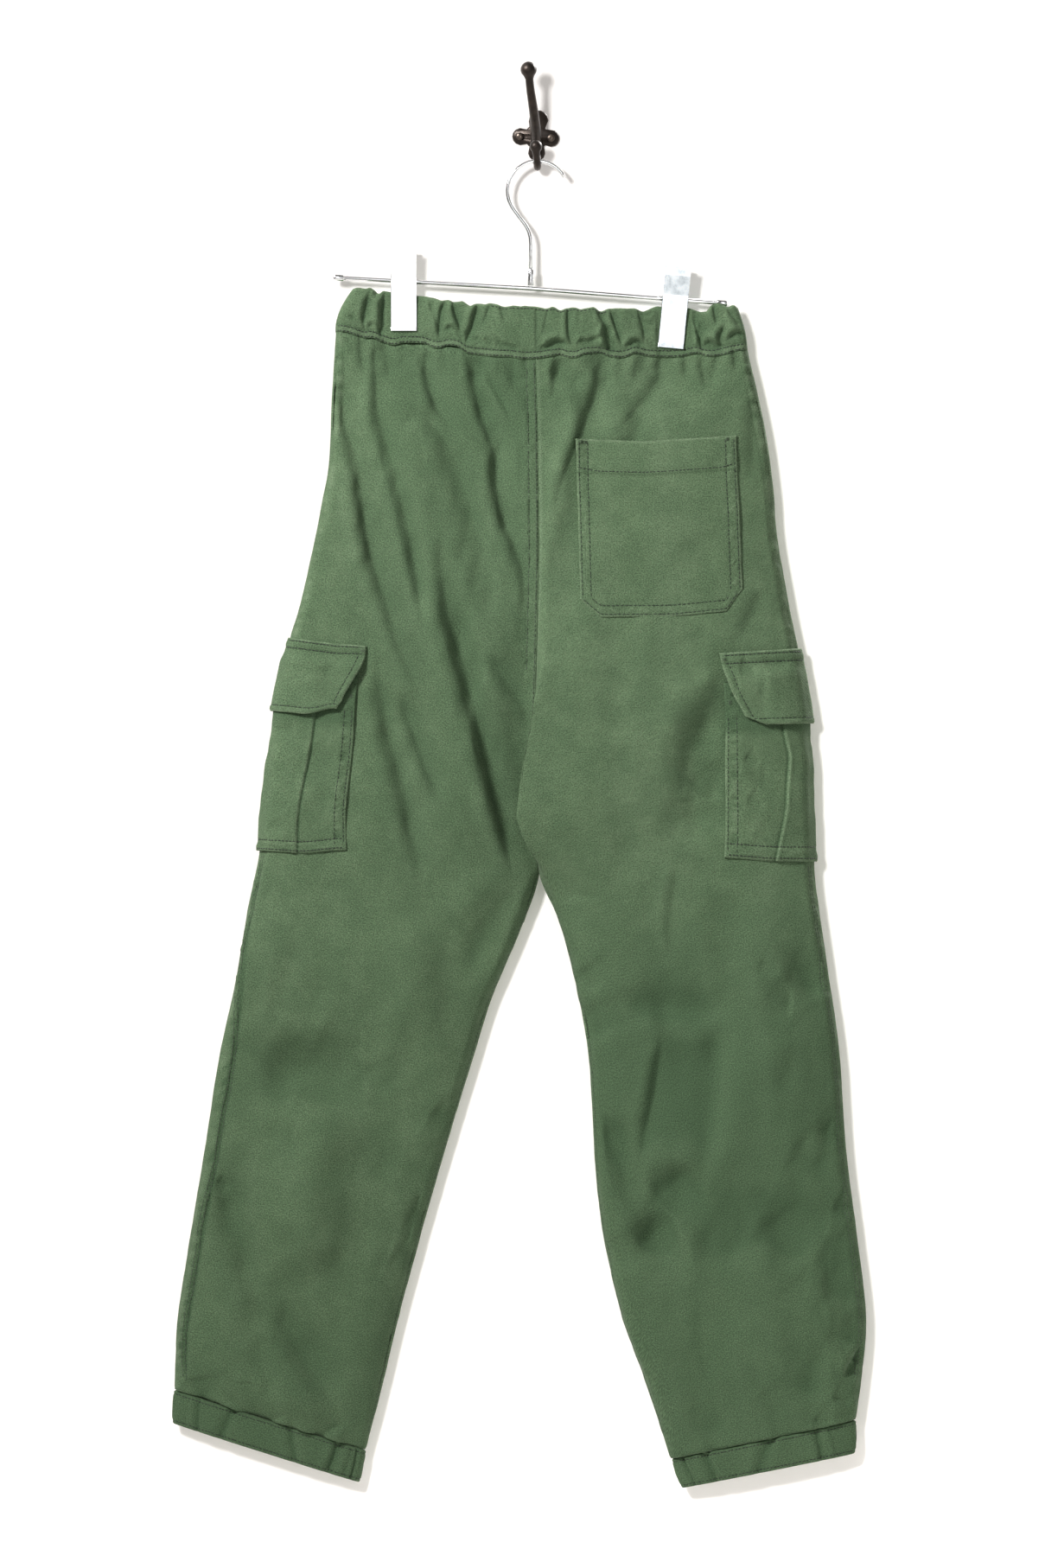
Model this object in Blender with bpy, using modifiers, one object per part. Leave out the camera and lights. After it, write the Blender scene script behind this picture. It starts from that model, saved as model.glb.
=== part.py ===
# Easy-fit cargo trousers hung flat from a clip hanger on a cast double wall hook.
#
# Frame: +X to the right and -Y out of the wall for someone who faces the garment, which shows its
# back, and +Z up. The origin is the centre of the flat back of the wall hook's plate. Lengths in
# this file are millimetres, and each mesh is written in metres. "Drop" is the distance below the
# top of the waistband at the centre back. "Depth" is the distance out from the mid plane of the
# hanging cloth, so a back and a front piece are made by the same functions.

import math

import bmesh
import bpy
import numpy as np
from mathutils import Matrix, Vector

METRE = 0.001                 # one millimetre in metres
BACK, FRONT = -1, 1           # side of the mid plane that a piece is on
LEFT, RIGHT = "left", "right"

# ---------------------------------------------------------------- driving dimensions, millimetres
MID_Y = -26.0                 # mid plane of the hanger and the cloth
WAIST_TOP_Z = -139.3          # top of the waistband at the centre back
SEAM_GAP = 0.3                # clearance between pieces that are sewn or seated together

PANEL_CLOTH = 1.2             # wall of the leg panels
BAND_CLOTH = 2.8              # elastic in a double casing
CUFF_CLOTH = 2.2
SECTION_POWER = 2.4           # superellipse power of a leg's section, 2 is an ellipse
BAND_SWELL = 0.8              # the casing is fuller half way up
END_ROUND = 9.0               # length of the waistband's rounded ends
BAND_BOW = 1.2                # the band's ends round out sideways
BAND_TAPER = {LEFT: 1.6, RIGHT: 1.2}          # how late the ends lean in on the way up
BAND_COLUMNS, BAND_ROWS, BAND_EVENNESS = {BACK: 76, FRONT: 68}, 2, 0.9
SEAT_BLEND = 60.0             # height over which the seat takes leave of the waistband's shape

# One row for each section of a leg, from the waist seam down to the cuff seam. The outer point is
# on the side seam and the inner one on the rise seam, or on the inseam below the crotch. "back"
# and "front" are the section's depths, and "wrap" is the arc it covers: 90 degrees where the two
# halves of the seat run into each other, 180 where the leg is a closed tube.
LEG_COLUMNS = ("outer_x", "outer_drop", "inner_x", "inner_drop", "back", "front", "wrap")
LEFT_LEG = (
    (-163.1, 21.0, -0.7, 42.0, 7.0, 7.0, 90),
    (-166.3, 74.9, 0.7, 88.2, 13.0, 10.0, 90),
    (-168.7, 125.3, 1.4, 137.2, 18.0, 13.0, 90),
    (-175.0, 161.0, 1.7, 177.8, 20.0, 14.0, 90),
    (-182.0, 196.7, 1.4, 217.7, 22.0, 15.0, 90),
    (-192.5, 242.2, 0.4, 263.2, 23.0, 16.0, 90),
    (-201.6, 273.7, -0.7, 301.7, 23.5, 16.5, 90),
    (-209.3, 319.2, -2.1, 343.7, 23.5, 16.5, 92),
    (-214.6, 356.3, -2.8, 375.2, 23.0, 16.5, 100),
    (-222.6, 408.1, -1.5, 417.2, 22.0, 16.5, 128),
    (-225.7, 445.2, 2.0, 461.0, 20.5, 16.0, 180),
    (-234.5, 487.2, -12.6, 504.7, 19.5, 15.5, 180),
    (-245.0, 548.8, -36.4, 560.7, 18.5, 15.0, 180),
    (-258.0, 609.0, -56.0, 623.7, 17.5, 14.5, 180),
    (-268.8, 677.6, -78.4, 698.6, 17.0, 14.0, 180),
    (-283.5, 766.5, -105.7, 796.6, 17.0, 14.0, 180),
    (-291.9, 821.8, -121.1, 859.6, 17.0, 14.0, 180),
    (-293.2, 854.0, -130.6, 898.0, 16.5, 13.5, 180),
    (-293.6, 877.8, -138.6, 926.8, 11.5, 11.0, 180),
)
RIGHT_LEG = (
    (170.8, 34.3, -0.7, 42.0, 7.0, 7.0, 90),
    (179.9, 72.8, 0.7, 88.2, 13.0, 10.0, 90),
    (187.6, 112.0, 1.4, 137.2, 18.0, 13.0, 90),
    (192.5, 150.5, 1.7, 177.8, 20.5, 14.0, 90),
    (195.3, 186.2, 1.4, 217.7, 22.5, 15.0, 90),
    (205.1, 242.2, 0.4, 263.2, 24.0, 16.0, 90),
    (214.9, 291.2, -0.7, 301.7, 24.5, 16.5, 90),
    (220.5, 336.7, -2.1, 343.7, 24.5, 16.5, 92),
    (222.6, 366.8, -2.8, 375.2, 24.0, 16.5, 100),
    (224.7, 417.2, -1.5, 417.2, 23.0, 16.5, 128),
    (226.1, 462.7, 2.0, 461.0, 21.0, 16.0, 180),
    (230.3, 494.2, 16.8, 495.6, 19.5, 15.5, 180),
    (237.3, 543.2, 29.4, 539.7, 18.5, 15.0, 180),
    (245.7, 602.7, 41.3, 602.7, 17.5, 14.5, 180),
    (251.3, 683.2, 46.2, 676.2, 17.0, 14.0, 180),
    (259.7, 749.7, 53.9, 749.7, 17.0, 14.0, 180),
    (267.4, 816.2, 70.7, 817.6, 17.0, 14.0, 180),
    (264.6, 861.7, 88.2, 866.6, 16.5, 13.5, 180),
    (259.0, 902.3, 109.2, 933.8, 11.5, 11.0, 180),
)
LEG_ROWS = {LEFT: LEFT_LEG, RIGHT: RIGHT_LEG}

# The seat of the right back panel pouches over the centre-back seam: how far its rolled edge
# reaches past the seam, and how deep the seam lies below it.
POUCH_COLUMNS = ("drop", "reach", "valley", "rise")
POUCH = (
    (150, 0.0, 0.0, 0.0),
    (230, 0.0, 2.0, 2.0),
    (290, 1.0, 4.0, 5.0),
    (330, 5.0, 6.0, 7.0),
    (365, 10.5, 7.5, 8.0),
    (400, 14.5, 8.0, 8.0),
    (424, 16.0, 8.0, 8.0),
    (440, 9.0, 7.0, 6.0),
    (455, 2.0, 4.0, 3.0),
    (472, 0.0, 0.0, 0.0),
    (540, 0.0, 0.0, 0.0),
)
POUCH_WIDTH = 70.0            # strip of the panel beside the seam that moves
POUCH_CURVES = (0.6, 0.55)    # where the strip moves and rises most: nearer the seam when smaller
POUCH_SHIFT, POUCH_STRETCH, POUCH_START = 10.0, 1.45, 4.0     # sideways: base, per reach, ease-in
VALLEY_WIDTH = {LEFT: 30.0, RIGHT: 4.0}
HOLLOW_SHARE, HOLLOW_REACH = 0.5, 12.0    # deeper hollow that the pouch's edge lies in

# Waist seam and top edge of the band: x and drop.
WAIST_SEAM = ((-163.1, 21.0), (-144, 25.5), (-123, 30.1), (-62, 37.5), (-1.4, 42.0),
              (55, 37.5), (92, 38.0), (128, 39.2), (150, 37.0), (170.8, 34.3))
BAND_TOP = ((-149.1, -15.4), (-123, -12.0), (-97, -8.8), (-54.6, -3.6), (-1.4, 0.0),
            (50, 0.4), (99, 0.4), (141, -1.6), (163.1, 0.4))
BAND_ENDS = {LEFT: -149.1, RIGHT: 163.1}          # x of the band's upper corners
# Depth of the band's outer face: shut under the clips, open between them and at the sides.
CLIP_X = {LEFT: -107.8, RIGHT: 112.3}
BAND_DEPTH = ((-165, 7.0), (-140, 6.2), (-121, 3.1), (-95, 3.1), (-72, 8.0), (-35, 12.0),
              (0, 13.0), (40, 12.0), (76, 8.0), (98, 3.1), (126, 3.1), (146, 6.2), (172, 7.0))

# Gathers of the waistband: x at the seam, lean of the crease up to the top edge, depth, half width.
GATHER_COLUMNS = ("x", "lean", "depth", "half_width")
GATHER_SHARPNESS = 1.6
GATHER_DIP = 0.9              # a gather pulls the top edge down by this share of its depth
GRIP_HALF, GRIP_EDGE = 13.0, 4.0          # pressed flat this far each side of a clip's middle
BACK_GATHERS = (
    (-141, 1.0, 1.5, 3.2), (-134, 0.0, 1.6, 3.2), (-125, 0.0, 1.9, 3.6), (-87, -4.0, 1.9, 3.6),
    (-78, 4.0, 1.4, 3.4), (-63, -5.0, 1.9, 4.0), (-53, 0.0, 1.6, 3.4), (-36, 1.0, 1.1, 3.6),
    (-28, 0.0, 1.1, 3.4), (-14, 1.0, 0.9, 3.4), (12, 1.0, 0.8, 3.6), (28, -3.0, 1.2, 3.6),
    (50, -4.0, 1.9, 3.8), (60, -6.0, 1.6, 3.4), (84, -3.0, 1.4, 3.4), (93, 0.0, 1.2, 3.4),
    (128, 0.0, 1.6, 3.4), (134, -4.0, 1.9, 3.2), (145, 0.0, 1.4, 3.4), (151, 0.0, 1.4, 3.2),
    (161, -4.0, 1.6, 3.2),
)
FRONT_GATHERS = (
    (-149, 0.0, 1.4, 3.4), (-138, 2.0, 1.8, 3.4), (-126, -1.0, 1.6, 3.4), (-88, 3.0, 1.9, 3.8),
    (-76, -2.0, 1.4, 3.4), (-66, 1.0, 1.9, 3.6), (-51, 2.0, 1.2, 3.6), (-40, -3.0, 1.6, 3.4),
    (-25, 0.0, 1.2, 3.6), (-13, 2.0, 1.4, 3.4), (9, -2.0, 1.2, 3.4), (20, 1.0, 1.5, 3.6),
    (35, -1.0, 1.4, 3.4), (47, 3.0, 1.9, 3.6), (62, -2.0, 1.6, 3.4), (74, 0.0, 1.2, 3.4),
    (88, 2.0, 1.8, 3.6), (131, -1.0, 1.6, 3.4), (144, 1.0, 1.4, 3.4), (157, 0.0, 1.6, 3.4),
)

# The largest folds of each panel: three points on the fold's line, x and drop, then its half
# width and its height, which is negative for a trough.
FOLD_COLUMNS = ("x0", "drop0", "x1", "drop1", "x2", "drop2", "half_width", "height")
FOLD_STEPS = 17               # points that stand for a fold's line
FOLD_FADE = 0.25              # share of a fold's length over which each end fades out
FOLD_SEAM_FADE = 0.05         # share of a panel's width over which folds fade out at a seam
FOLD_AT_WAIST = 0.4           # share of a fold's height that is left at the waist seam
FOLDS = {
    (BACK, LEFT): (
        (-163, 40, -146, 135, -109, 277, 10, -5.8),
        (-137, 80, -113, 170, -91, 245, 10, -4.6),
        (-91, 30, -85, 74, -62, 110, 9, -4.3),
        (-84, 98, -54, 180, -34, 272, 11, -5.2),
        (-82, 175, -54, 312, -21, 456, 11, -8.0),
        (-61, 30, -48, 74, -38, 108, 8, -4.6),
        (-27, 92, -32, 134, -13, 228, 9, -6.1),
        (-130, 300, -111, 375, -94, 462, 11, -5.2),
        (-109, 310, -92, 361, -73, 408, 11, -3.8),
        (-218, 632, -178, 608, -126, 642, 16, -3.8),
        (-253, 690, -242, 746, -228, 802, 13, -4.3),
        (-204, 800, -187, 844, -164, 888, 13, -4.6),
        (-150, 480, -160, 540, -150, 600, 30, 2.6),
        (-200, 680, -196, 740, -188, 790, 34, 3.5),
    ),
    (BACK, RIGHT): (
        (58, 30, 48, 68, 32, 112, 9, -6.1),
        (47, 34, 27, 112, 4, 236, 10, 5.2),
        (116, 42, 88, 76, 62, 104, 9, -4.6),
        (140, 44, 139, 60, 137, 76, 8, -2.9),
        (143, 318, 125, 378, 118, 455, 15, -6.1),
        (82, 568, 124, 565, 160, 568, 12, -3.8),
        (160, 570, 144, 612, 134, 690, 12, -2.9),
        (126, 704, 104, 732, 86, 768, 12, -6.1),
        (64, 655, 76, 711, 85, 756, 11, -4.6),
        (208, 548, 222, 540, 234, 552, 12, -3.5),
        (178, 738, 202, 748, 224, 768, 12, -3.2),
        (262, 838, 248, 866, 236, 880, 9, -4.3),
        (60, 330, 62, 380, 66, 430, 40, 3.2),
    ),
    (FRONT, LEFT): (
        (-150, 44, -139, 130, -112, 236, 11, -4.6),
        (-104, 44, -88, 120, -66, 210, 11, -4.9),
        (-58, 48, -48, 104, -44, 170, 10, -4.3),
        (-30, 54, -24, 110, -20, 190, 9, -3.8),
        (-96, 300, -62, 372, -18, 440, 12, -5.8),
        (-132, 330, -96, 400, -54, 476, 12, -4.3),
        (-212, 596, -170, 622, -112, 606, 15, -3.8),
        (-240, 700, -226, 760, -214, 816, 13, -3.8),
        (-190, 770, -168, 826, -156, 884, 13, -4.1),
    ),
    (FRONT, RIGHT): (
        (152, 48, 146, 130, 126, 226, 11, -4.3),
        (104, 46, 92, 120, 66, 206, 11, -4.9),
        (58, 48, 50, 112, 40, 176, 10, -4.3),
        (28, 54, 22, 110, 20, 180, 9, -3.5),
        (104, 306, 62, 376, 20, 442, 12, -5.8),
        (150, 330, 106, 400, 60, 470, 12, -4.3),
        (86, 590, 140, 606, 200, 588, 15, -3.8),
        (76, 690, 96, 742, 118, 790, 12, -4.3),
        (236, 756, 204, 800, 186, 856, 13, -4.1),
    ),
}

# Grid of each panel: columns across, rows down. The back shows its folds and has the finer grid.
# The rows are a multiple of the sections' 18 intervals, so that one row lies on the crotch.
PANEL_GRID = {(BACK, LEFT): (20, 36), (BACK, RIGHT): (20, 36),
              (FRONT, LEFT): (11, 18), (FRONT, RIGHT): (11, 18)}
EVENNESS = 0.6                # 1 for evenly spaced columns, less for closer ones at the edges
CROTCH_ROW = 10               # row of the section tables where the rise seam ends
CLOSED_WRAP = 150.0           # a section that wraps further than this is a closed tube

# Cuffs: the lower corners, the depth at the hem, and how many gathers run round the elastic.
CUFF_COLUMNS = ("outer_x", "outer_drop", "inner_x", "inner_drop")
CUFF_HEM = {LEFT: (-295.0, 905.1, -143.8, 953.0), RIGHT: (257.6, 929.6, 117.6, 957.6)}
CUFF_DEPTH = 11.5
CUFF_GATHERS, CUFF_GATHER_DEPTH, CUFF_UNEVEN = 14, 0.9, 1.7
CUFF_POINTS, CUFF_ROWS, CUFF_EDGE_POWER = 44, 2, 0.85

# Back patch pocket, on the right back panel: x and drop of its sides, mouth and bottom.
POCKET_LEFT = ((32.2, 107.8), (32.2, 134.4), (33.6, 185.0), (35.0, 238.0))
POCKET_RIGHT = ((161.7, 104.8), (162.4, 134.0), (163.8, 160.0), (166.6, 228.9))
POCKET_MOUTH = ((0.0, 107.8), (0.42, 109.9), (1.0, 104.8))        # share across, drop
POCKET_BOTTOM = ((0.0, 238.0), (0.13, 252.4), (0.58, 251.8), (0.9, 247.5), (1.0, 228.9))
POCKET_HEM = 27.0             # turned hem of the mouth
POCKET_CLOTH = 1.2
HEM_CLOTH = 0.9               # the hem's extra layer
HEM_STEP = 0.012              # share of the height over which the extra layer ends
POCKET_PUFF = 1.6
POCKET_GRID = (8, 8)          # columns and rows

# Cargo pockets, on the side seam: drops are on the side seam, "half" is the width round the leg
# on either side of the seam.
CARGO = {
    LEFT: dict(flap_top=268.5, flap_bottom=327.8, bag_top=294.0, bag_bottom=441.0),
    RIGHT: dict(flap_top=277.2, flap_bottom=338.0, bag_top=303.0, bag_bottom=450.0),
}
BAG_HALF = 76.0
BAG_CLOTH = 1.4
PLEAT_HALF = 31.0             # half width of the raised box pleat
PLEAT_RISE = 3.2
PLEAT_EDGE = 0.6              # width of the step up onto the pleat
BAG_BELLY, BAG_BELLY_EDGE = 1.8, 14.0     # the bag stands off the leg, from this far inside
FLAP_HALF_TOP = 77.0
FLAP_HALF_BOTTOM = 57.0
FLAP_CLOTH = 2.2
FLAP_STITCHED = 0.17          # share of the flap's height that is sewn flat to the leg
FLAP_OVER = 0.36              # share at which it has risen over the bag
FLAP_CLEAR, FLAP_FLARE = 2.4, 2.2         # height over the bag, and what the free edge adds
FLAP_BEND = 0.0035            # share of the leg's length between the stitched strip and its bend
FLAP_EASE = (15.0, 13.0)      # how far outside the pleat the flap begins to rise, and over what
LAY_GAP = 0.9                 # clearance of a piece laid on a panel, over the panel's facets

# Hanger
RAIL_RADIUS = 1.9
RAIL_ENDS = {LEFT: (-156.1, -116.2), RIGHT: (145.6, -136.2)}
RAIL_MIDDLE = (-4.9, -124.6)
CAP_RADIUS, CAP_LENGTH = 3.0, 9.0
HOOK_WIRE_RADIUS = 1.75
HOOK_BEND = 24.5              # radius of the hook's centre line
HOOK_CENTRE = (0.7, -45.85)
HOOK_TIP_ANGLE, HOOK_END_ANGLE = 28.0, 219.0
HOOK_PULL = 14.0              # how far the bend's direction is kept on the way to the stem
HOOK_STEM = 20.0              # straight stem above the ferrule
STEM_SEATED = 6.0             # length of stem inside the ferrule
FERRULE_X, FERRULE_TOP, FERRULE_RADIUS = -4.9, -109.2, 2.8

# Clips
CLIP_WIDTH = 21.0
CLIP_PIVOT_Z = {LEFT: -119.6, RIGHT: -133.6}
CLIP_LEAN = {LEFT: 0.0, RIGHT: 5.5}               # degrees, the foot towards -X
CLIP_SHEET = 1.0
# Side view of a clip plate: height from the pivot, distance of its inner face from the mid plane,
# and the depth of its side flanges.
CLIP_PROFILE = ((26.2, 8.8, 1.8), (19.0, 8.0, 2.2), (3.5, 5.0, 1.6), (-6.0, 4.4, 0.9),
                (-13.0, 4.1, 0.15), (-24.0, 3.6, 0.05), (-36.5, 3.42, 0.05), (-39.6, 4.0, 0.05))
SPRING_RADIUS, SPRING_BORE, SPRING_LENGTH = 4.35, 2.25, 17.0

# Wall hook
PLATE_THICKNESS = 4.0
# Lobes of the plate: x, z and radius.
PLATE_LOBES = ((0.0, 0.0, 10.0), (1.6, 13.4, 8.0), (-12.9, 0.0, 7.0), (11.6, -1.4, 7.0),
               (0.0, -13.0, 7.0))
PLATE_STEP = 9.0              # degrees between the points of the plate's outline
SCREW_PLACES = {LEFT: (-13.7, 0.0), RIGHT: (11.6, -1.4)}
SCREW_HEAD, SCREW_SHANK, SCREW_HOLE = 3.1, 1.7, 2.0
# Arms: y, z, x and radius of the centre line's points.
UPPER_ARM = ((-2.6, -7.0, -0.5, 4.6), (-12.0, -2.0, -0.6, 4.3), (-26.0, 7.0, -1.0, 4.0),
             (-40.0, 19.0, -2.6, 3.7), (-50.0, 34.0, -5.0, 3.4), (-54.0, 43.0, -6.0, 3.3))
UPPER_BALL = (-55.0, 50.6, -6.6, 6.6)
LOWER_ARM = ((-2.6, -13.0, 0.0, 3.6), (-9.0, -19.4, 0.2, 3.3), (-17.0, -24.6, 0.4, 3.0),
             (-26.0, -26.4, 0.6, 3.0), (-34.5, -23.6, 0.4, 2.9), (-39.0, -17.5, -0.3, 2.8))
LOWER_BALL = (-40.4, -10.6, -0.7, 5.2)

# Colours, roughness and metallic value of each material.
MATERIALS = {
    "olive_twill": ((0.128, 0.172, 0.108, 1.0), 0.85, 0.0),
    "chrome": ((0.82, 0.83, 0.84, 1.0), 0.12, 1.0),
    "cast_iron": ((0.045, 0.036, 0.030, 1.0), 0.45, 0.9),
    "screw_steel": ((0.30, 0.28, 0.26, 1.0), 0.35, 1.0),
}


# ---------------------------------------------------------------- scene and small helpers
def clear_scene():
    for item in list(bpy.data.objects):
        bpy.data.objects.remove(item, do_unlink=True)


def make_collection(name):
    collection = bpy.data.collections.new(name)
    bpy.context.scene.collection.children.link(collection)
    return collection


def make_material(name):
    colour, roughness, metallic = MATERIALS[name]
    material = bpy.data.materials.new(name)
    material.use_nodes = True
    shader = material.node_tree.nodes["Principled BSDF"]
    shader.inputs["Base Color"].default_value = colour
    shader.inputs["Roughness"].default_value = roughness
    shader.inputs["Metallic"].default_value = metallic
    material.diffuse_color = colour
    return material


def add_object(name, data, material, collection):
    piece = bpy.data.objects.new(name, data)
    collection.objects.link(piece)
    data.materials.append(material)
    return piece


def ease(share):
    share = np.clip(share, 0.0, 1.0)
    return share * share * (3.0 - 2.0 * share)


def rounded_end(distance):
    """Share of a flat band's depth at a distance from its rounded end."""
    share = np.clip(distance / END_ROUND, 0.0, 1.0)
    return (1.0 - (1.0 - share) ** SECTION_POWER) ** (1.0 / SECTION_POWER)


def through(values, share):
    """A smooth curve through evenly spaced values, read at shares from 0 to 1."""
    values = np.asarray(values, float)
    padded = np.concatenate(([2 * values[0] - values[1]], values, [2 * values[-1] - values[-2]]))
    place = np.clip(share, 0.0, 1.0) * (len(values) - 1)
    step = np.minimum(place.astype(int), len(values) - 2)
    k = place - step
    a, b, c, d = (padded[step + n] for n in range(4))
    return b + 0.5 * k * (c - a + k * (2 * a - 5 * b + 4 * c - d + k * (3 * (b - c) + d - a)))


def column(rows, columns, name):
    return np.array([row[columns.index(name)] for row in rows], float)


def named(columns, row):
    return dict(zip(columns, row))


def line_through(pairs, x):
    """Straight lines through the pairs of a short table."""
    xs, values = zip(*pairs)
    return np.interp(x, xs, values)


def inward_normals(points):
    """Unit vectors into the body at each point of a grid, which faces away from the mid plane."""
    down = np.gradient(points, axis=0)
    across = np.gradient(points, axis=1)
    normal = np.cross(across, down)
    normal /= np.linalg.norm(normal, axis=2, keepdims=True) + 1e-9
    return normal


def face_into_body(normals, side):
    """Turn the whole grid's normals so that most of them point to the mid plane."""
    return normals if normals[..., 1].mean() * side < 0 else -normals


def square_up(normals, edge, axis):
    """Take one axis out of the normals along an edge, so that the rim lies square to its seam."""
    normals[edge + (axis,)] = 0.0
    normals[edge] /= np.linalg.norm(normals[edge], axis=-1, keepdims=True)


def wall_object(name, outer, inner, material, collection, ring=False):
    """A closed wall between two grids of points, open or closed to a ring across its columns."""
    rows, columns = outer.shape[:2]
    mesh_data = bmesh.new()
    layers = []
    for grid in (outer, inner):
        layers.append([[mesh_data.verts.new(point * METRE) for point in row] for row in grid])
    spans = columns if ring else columns - 1
    for j in range(rows - 1):
        for i in range(spans):
            k = (i + 1) % columns
            for layer in layers:
                mesh_data.faces.new((layer[j][i], layer[j][k], layer[j + 1][k], layer[j + 1][i]))
    skin, lining = layers
    for j in (0, rows - 1):
        for i in range(spans):
            k = (i + 1) % columns
            mesh_data.faces.new((skin[j][i], skin[j][k], lining[j][k], lining[j][i]))
    if not ring:
        for i in (0, columns - 1):
            for j in range(rows - 1):
                mesh_data.faces.new((skin[j][i], skin[j + 1][i], lining[j + 1][i], lining[j][i]))
    bmesh.ops.recalc_face_normals(mesh_data, faces=mesh_data.faces)
    data = bpy.data.meshes.new(name)
    mesh_data.to_mesh(data)
    mesh_data.free()
    data.shade_smooth()
    data.set_sharp_from_angle(angle=math.radians(50))
    return add_object(name, data, material, collection)


# ---------------------------------------------------------------- the leg panels
def leg_value(leg, name, down):
    values = column(LEG_ROWS[leg], LEG_COLUMNS, name)
    if name in ("inner_x", "inner_drop", "wrap"):             # these have a corner at the crotch
        place = np.asarray(down) * (len(values) - 1)
        above = through(values[:CROTCH_ROW + 1], place / CROTCH_ROW)
        below = through(values[CROTCH_ROW:], (place - CROTCH_ROW) / (len(values) - 1 - CROTCH_ROW))
        value = np.where(place < CROTCH_ROW, above, below)
    else:
        value = through(values, down)
    return np.clip(value, 90.0, 180.0) if name == "wrap" else value


def fold_relief(folds, x, drop):
    """Sum of the folds' heights at points of the panel's flat outline."""
    relief = np.zeros_like(x)
    for row in folds:
        fold = named(FOLD_COLUMNS, row)
        nearest = np.full_like(x, np.inf)
        along = np.zeros_like(x)
        for k in np.linspace(0.0, 1.0, FOLD_STEPS):
            start, middle, end = (1 - k) * (1 - 2 * k), 4 * k * (1 - k), k * (2 * k - 1)
            fold_x = start * fold["x0"] + middle * fold["x1"] + end * fold["x2"]
            fold_drop = start * fold["drop0"] + middle * fold["drop1"] + end * fold["drop2"]
            gap = np.hypot(x - fold_x, drop - fold_drop)
            along = np.where(gap < nearest, k, along)
            nearest = np.minimum(nearest, gap)
        fade = ease(along / FOLD_FADE) * ease((1 - along) / FOLD_FADE)
        relief += fold["height"] * fade * np.exp(-((nearest / fold["half_width"]) ** 2))
    return relief


def pouch_value(name, drop):
    return line_through(tuple(zip(column(POUCH, POUCH_COLUMNS, "drop"),
                                  column(POUCH, POUCH_COLUMNS, name))), drop)


def panel_surface(side, leg, across, down):
    """Outer face of a panel: x, drop and depth at shares across, from the side seam in, and down."""
    across, down = np.broadcast_arrays(across, down)
    outer_x, outer_drop = leg_value(leg, "outer_x", down), leg_value(leg, "outer_drop", down)
    inner_x, inner_drop = leg_value(leg, "inner_x", down), leg_value(leg, "inner_drop", down)
    x = outer_x + (inner_x - outer_x) * across
    drop = outer_drop + (inner_drop - outer_drop) * across

    turn = 1.0 - across * (1.0 - np.cos(np.radians(leg_value(leg, "wrap", down))))
    roundness = (1.0 - np.abs(np.clip(turn, -1, 1)) ** SECTION_POWER) ** (1.0 / SECTION_POWER)
    depth = leg_value(leg, "back" if side == BACK else "front", down) * roundness

    top = LEG_ROWS[leg][0]
    straight_top = top[1] + (top[3] - top[1]) * (x - top[0]) / (top[2] - top[0])
    below = drop - straight_top
    seat = 1.0 - ease(below / SEAT_BLEND)                     # share that still follows the band
    drop = drop + seat * (line_through(WAIST_SEAM, x) - straight_top)
    band_face = line_through(BAND_DEPTH, x) - 0.5 * (BAND_CLOTH - PANEL_CLOTH)
    depth = depth + seat * (band_face * rounded_end(np.abs(x - outer_x)) - depth)

    at_inseam = np.where(leg_value(leg, "wrap", down) > CLOSED_WRAP,
                         ease((1 - across) / FOLD_SEAM_FADE), 1.0)
    keep = ease(across / FOLD_SEAM_FADE) * at_inseam * (1.0 - (1.0 - FOLD_AT_WAIST) * seat)
    depth = depth + fold_relief(FOLDS[side, leg], x, drop) * keep

    if side == BACK:
        from_seam = np.abs(x - inner_x)
        reach = pouch_value("reach", drop)
        valley = pouch_value("valley", drop)
        at_seam = np.exp(-((from_seam / VALLEY_WIDTH[leg]) ** 2))
        if leg == LEFT:
            away = from_seam / HOLLOW_REACH
            depth = depth - valley * (at_seam + HOLLOW_SHARE * away * np.exp(1.0 - away))
        else:
            strip = np.clip(from_seam / POUCH_WIDTH, 0.0, 1.0)
            sideways, upwards = (np.sin(np.pi * strip ** curve) for curve in POUCH_CURVES)
            depth = depth - valley * at_seam + pouch_value("rise", drop) * upwards
            shift = POUCH_SHIFT * np.clip(reach / POUCH_START, 0.0, 1.0) + POUCH_STRETCH * reach
            x = x - shift * sideways ** 2
    return x, drop, np.maximum(depth, 0.0)


def to_points(side, x, drop, depth):
    return np.stack((x, MID_Y + side * (SEAM_GAP / 2 + depth), WAIST_TOP_Z - drop), axis=-1)


def spread(count, evenness):
    """Shares from 0 to 1, closer together at both ends."""
    even = np.linspace(0.0, 1.0, count)
    return evenness * even + (1.0 - evenness) * 0.5 * (1.0 - np.cos(np.pi * even))


def panel_grid(side, leg, columns, rows):
    across = spread(columns + 1, EVENNESS)[None, :]
    down = np.linspace(0.0, 1.0, rows + 1)[:, None]
    points = to_points(side, *panel_surface(side, leg, across, down))
    wrap = leg_value(leg, "wrap", down[:, 0])
    toward_seam = 1.0 if leg == LEFT else -1.0
    points[:, -1, 0] -= toward_seam * SEAM_GAP / 2 * (wrap < 179)
    points[0, :, 2] -= SEAM_GAP / 2
    points[-1, :, 2] += SEAM_GAP / 2
    return points, wrap


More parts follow.
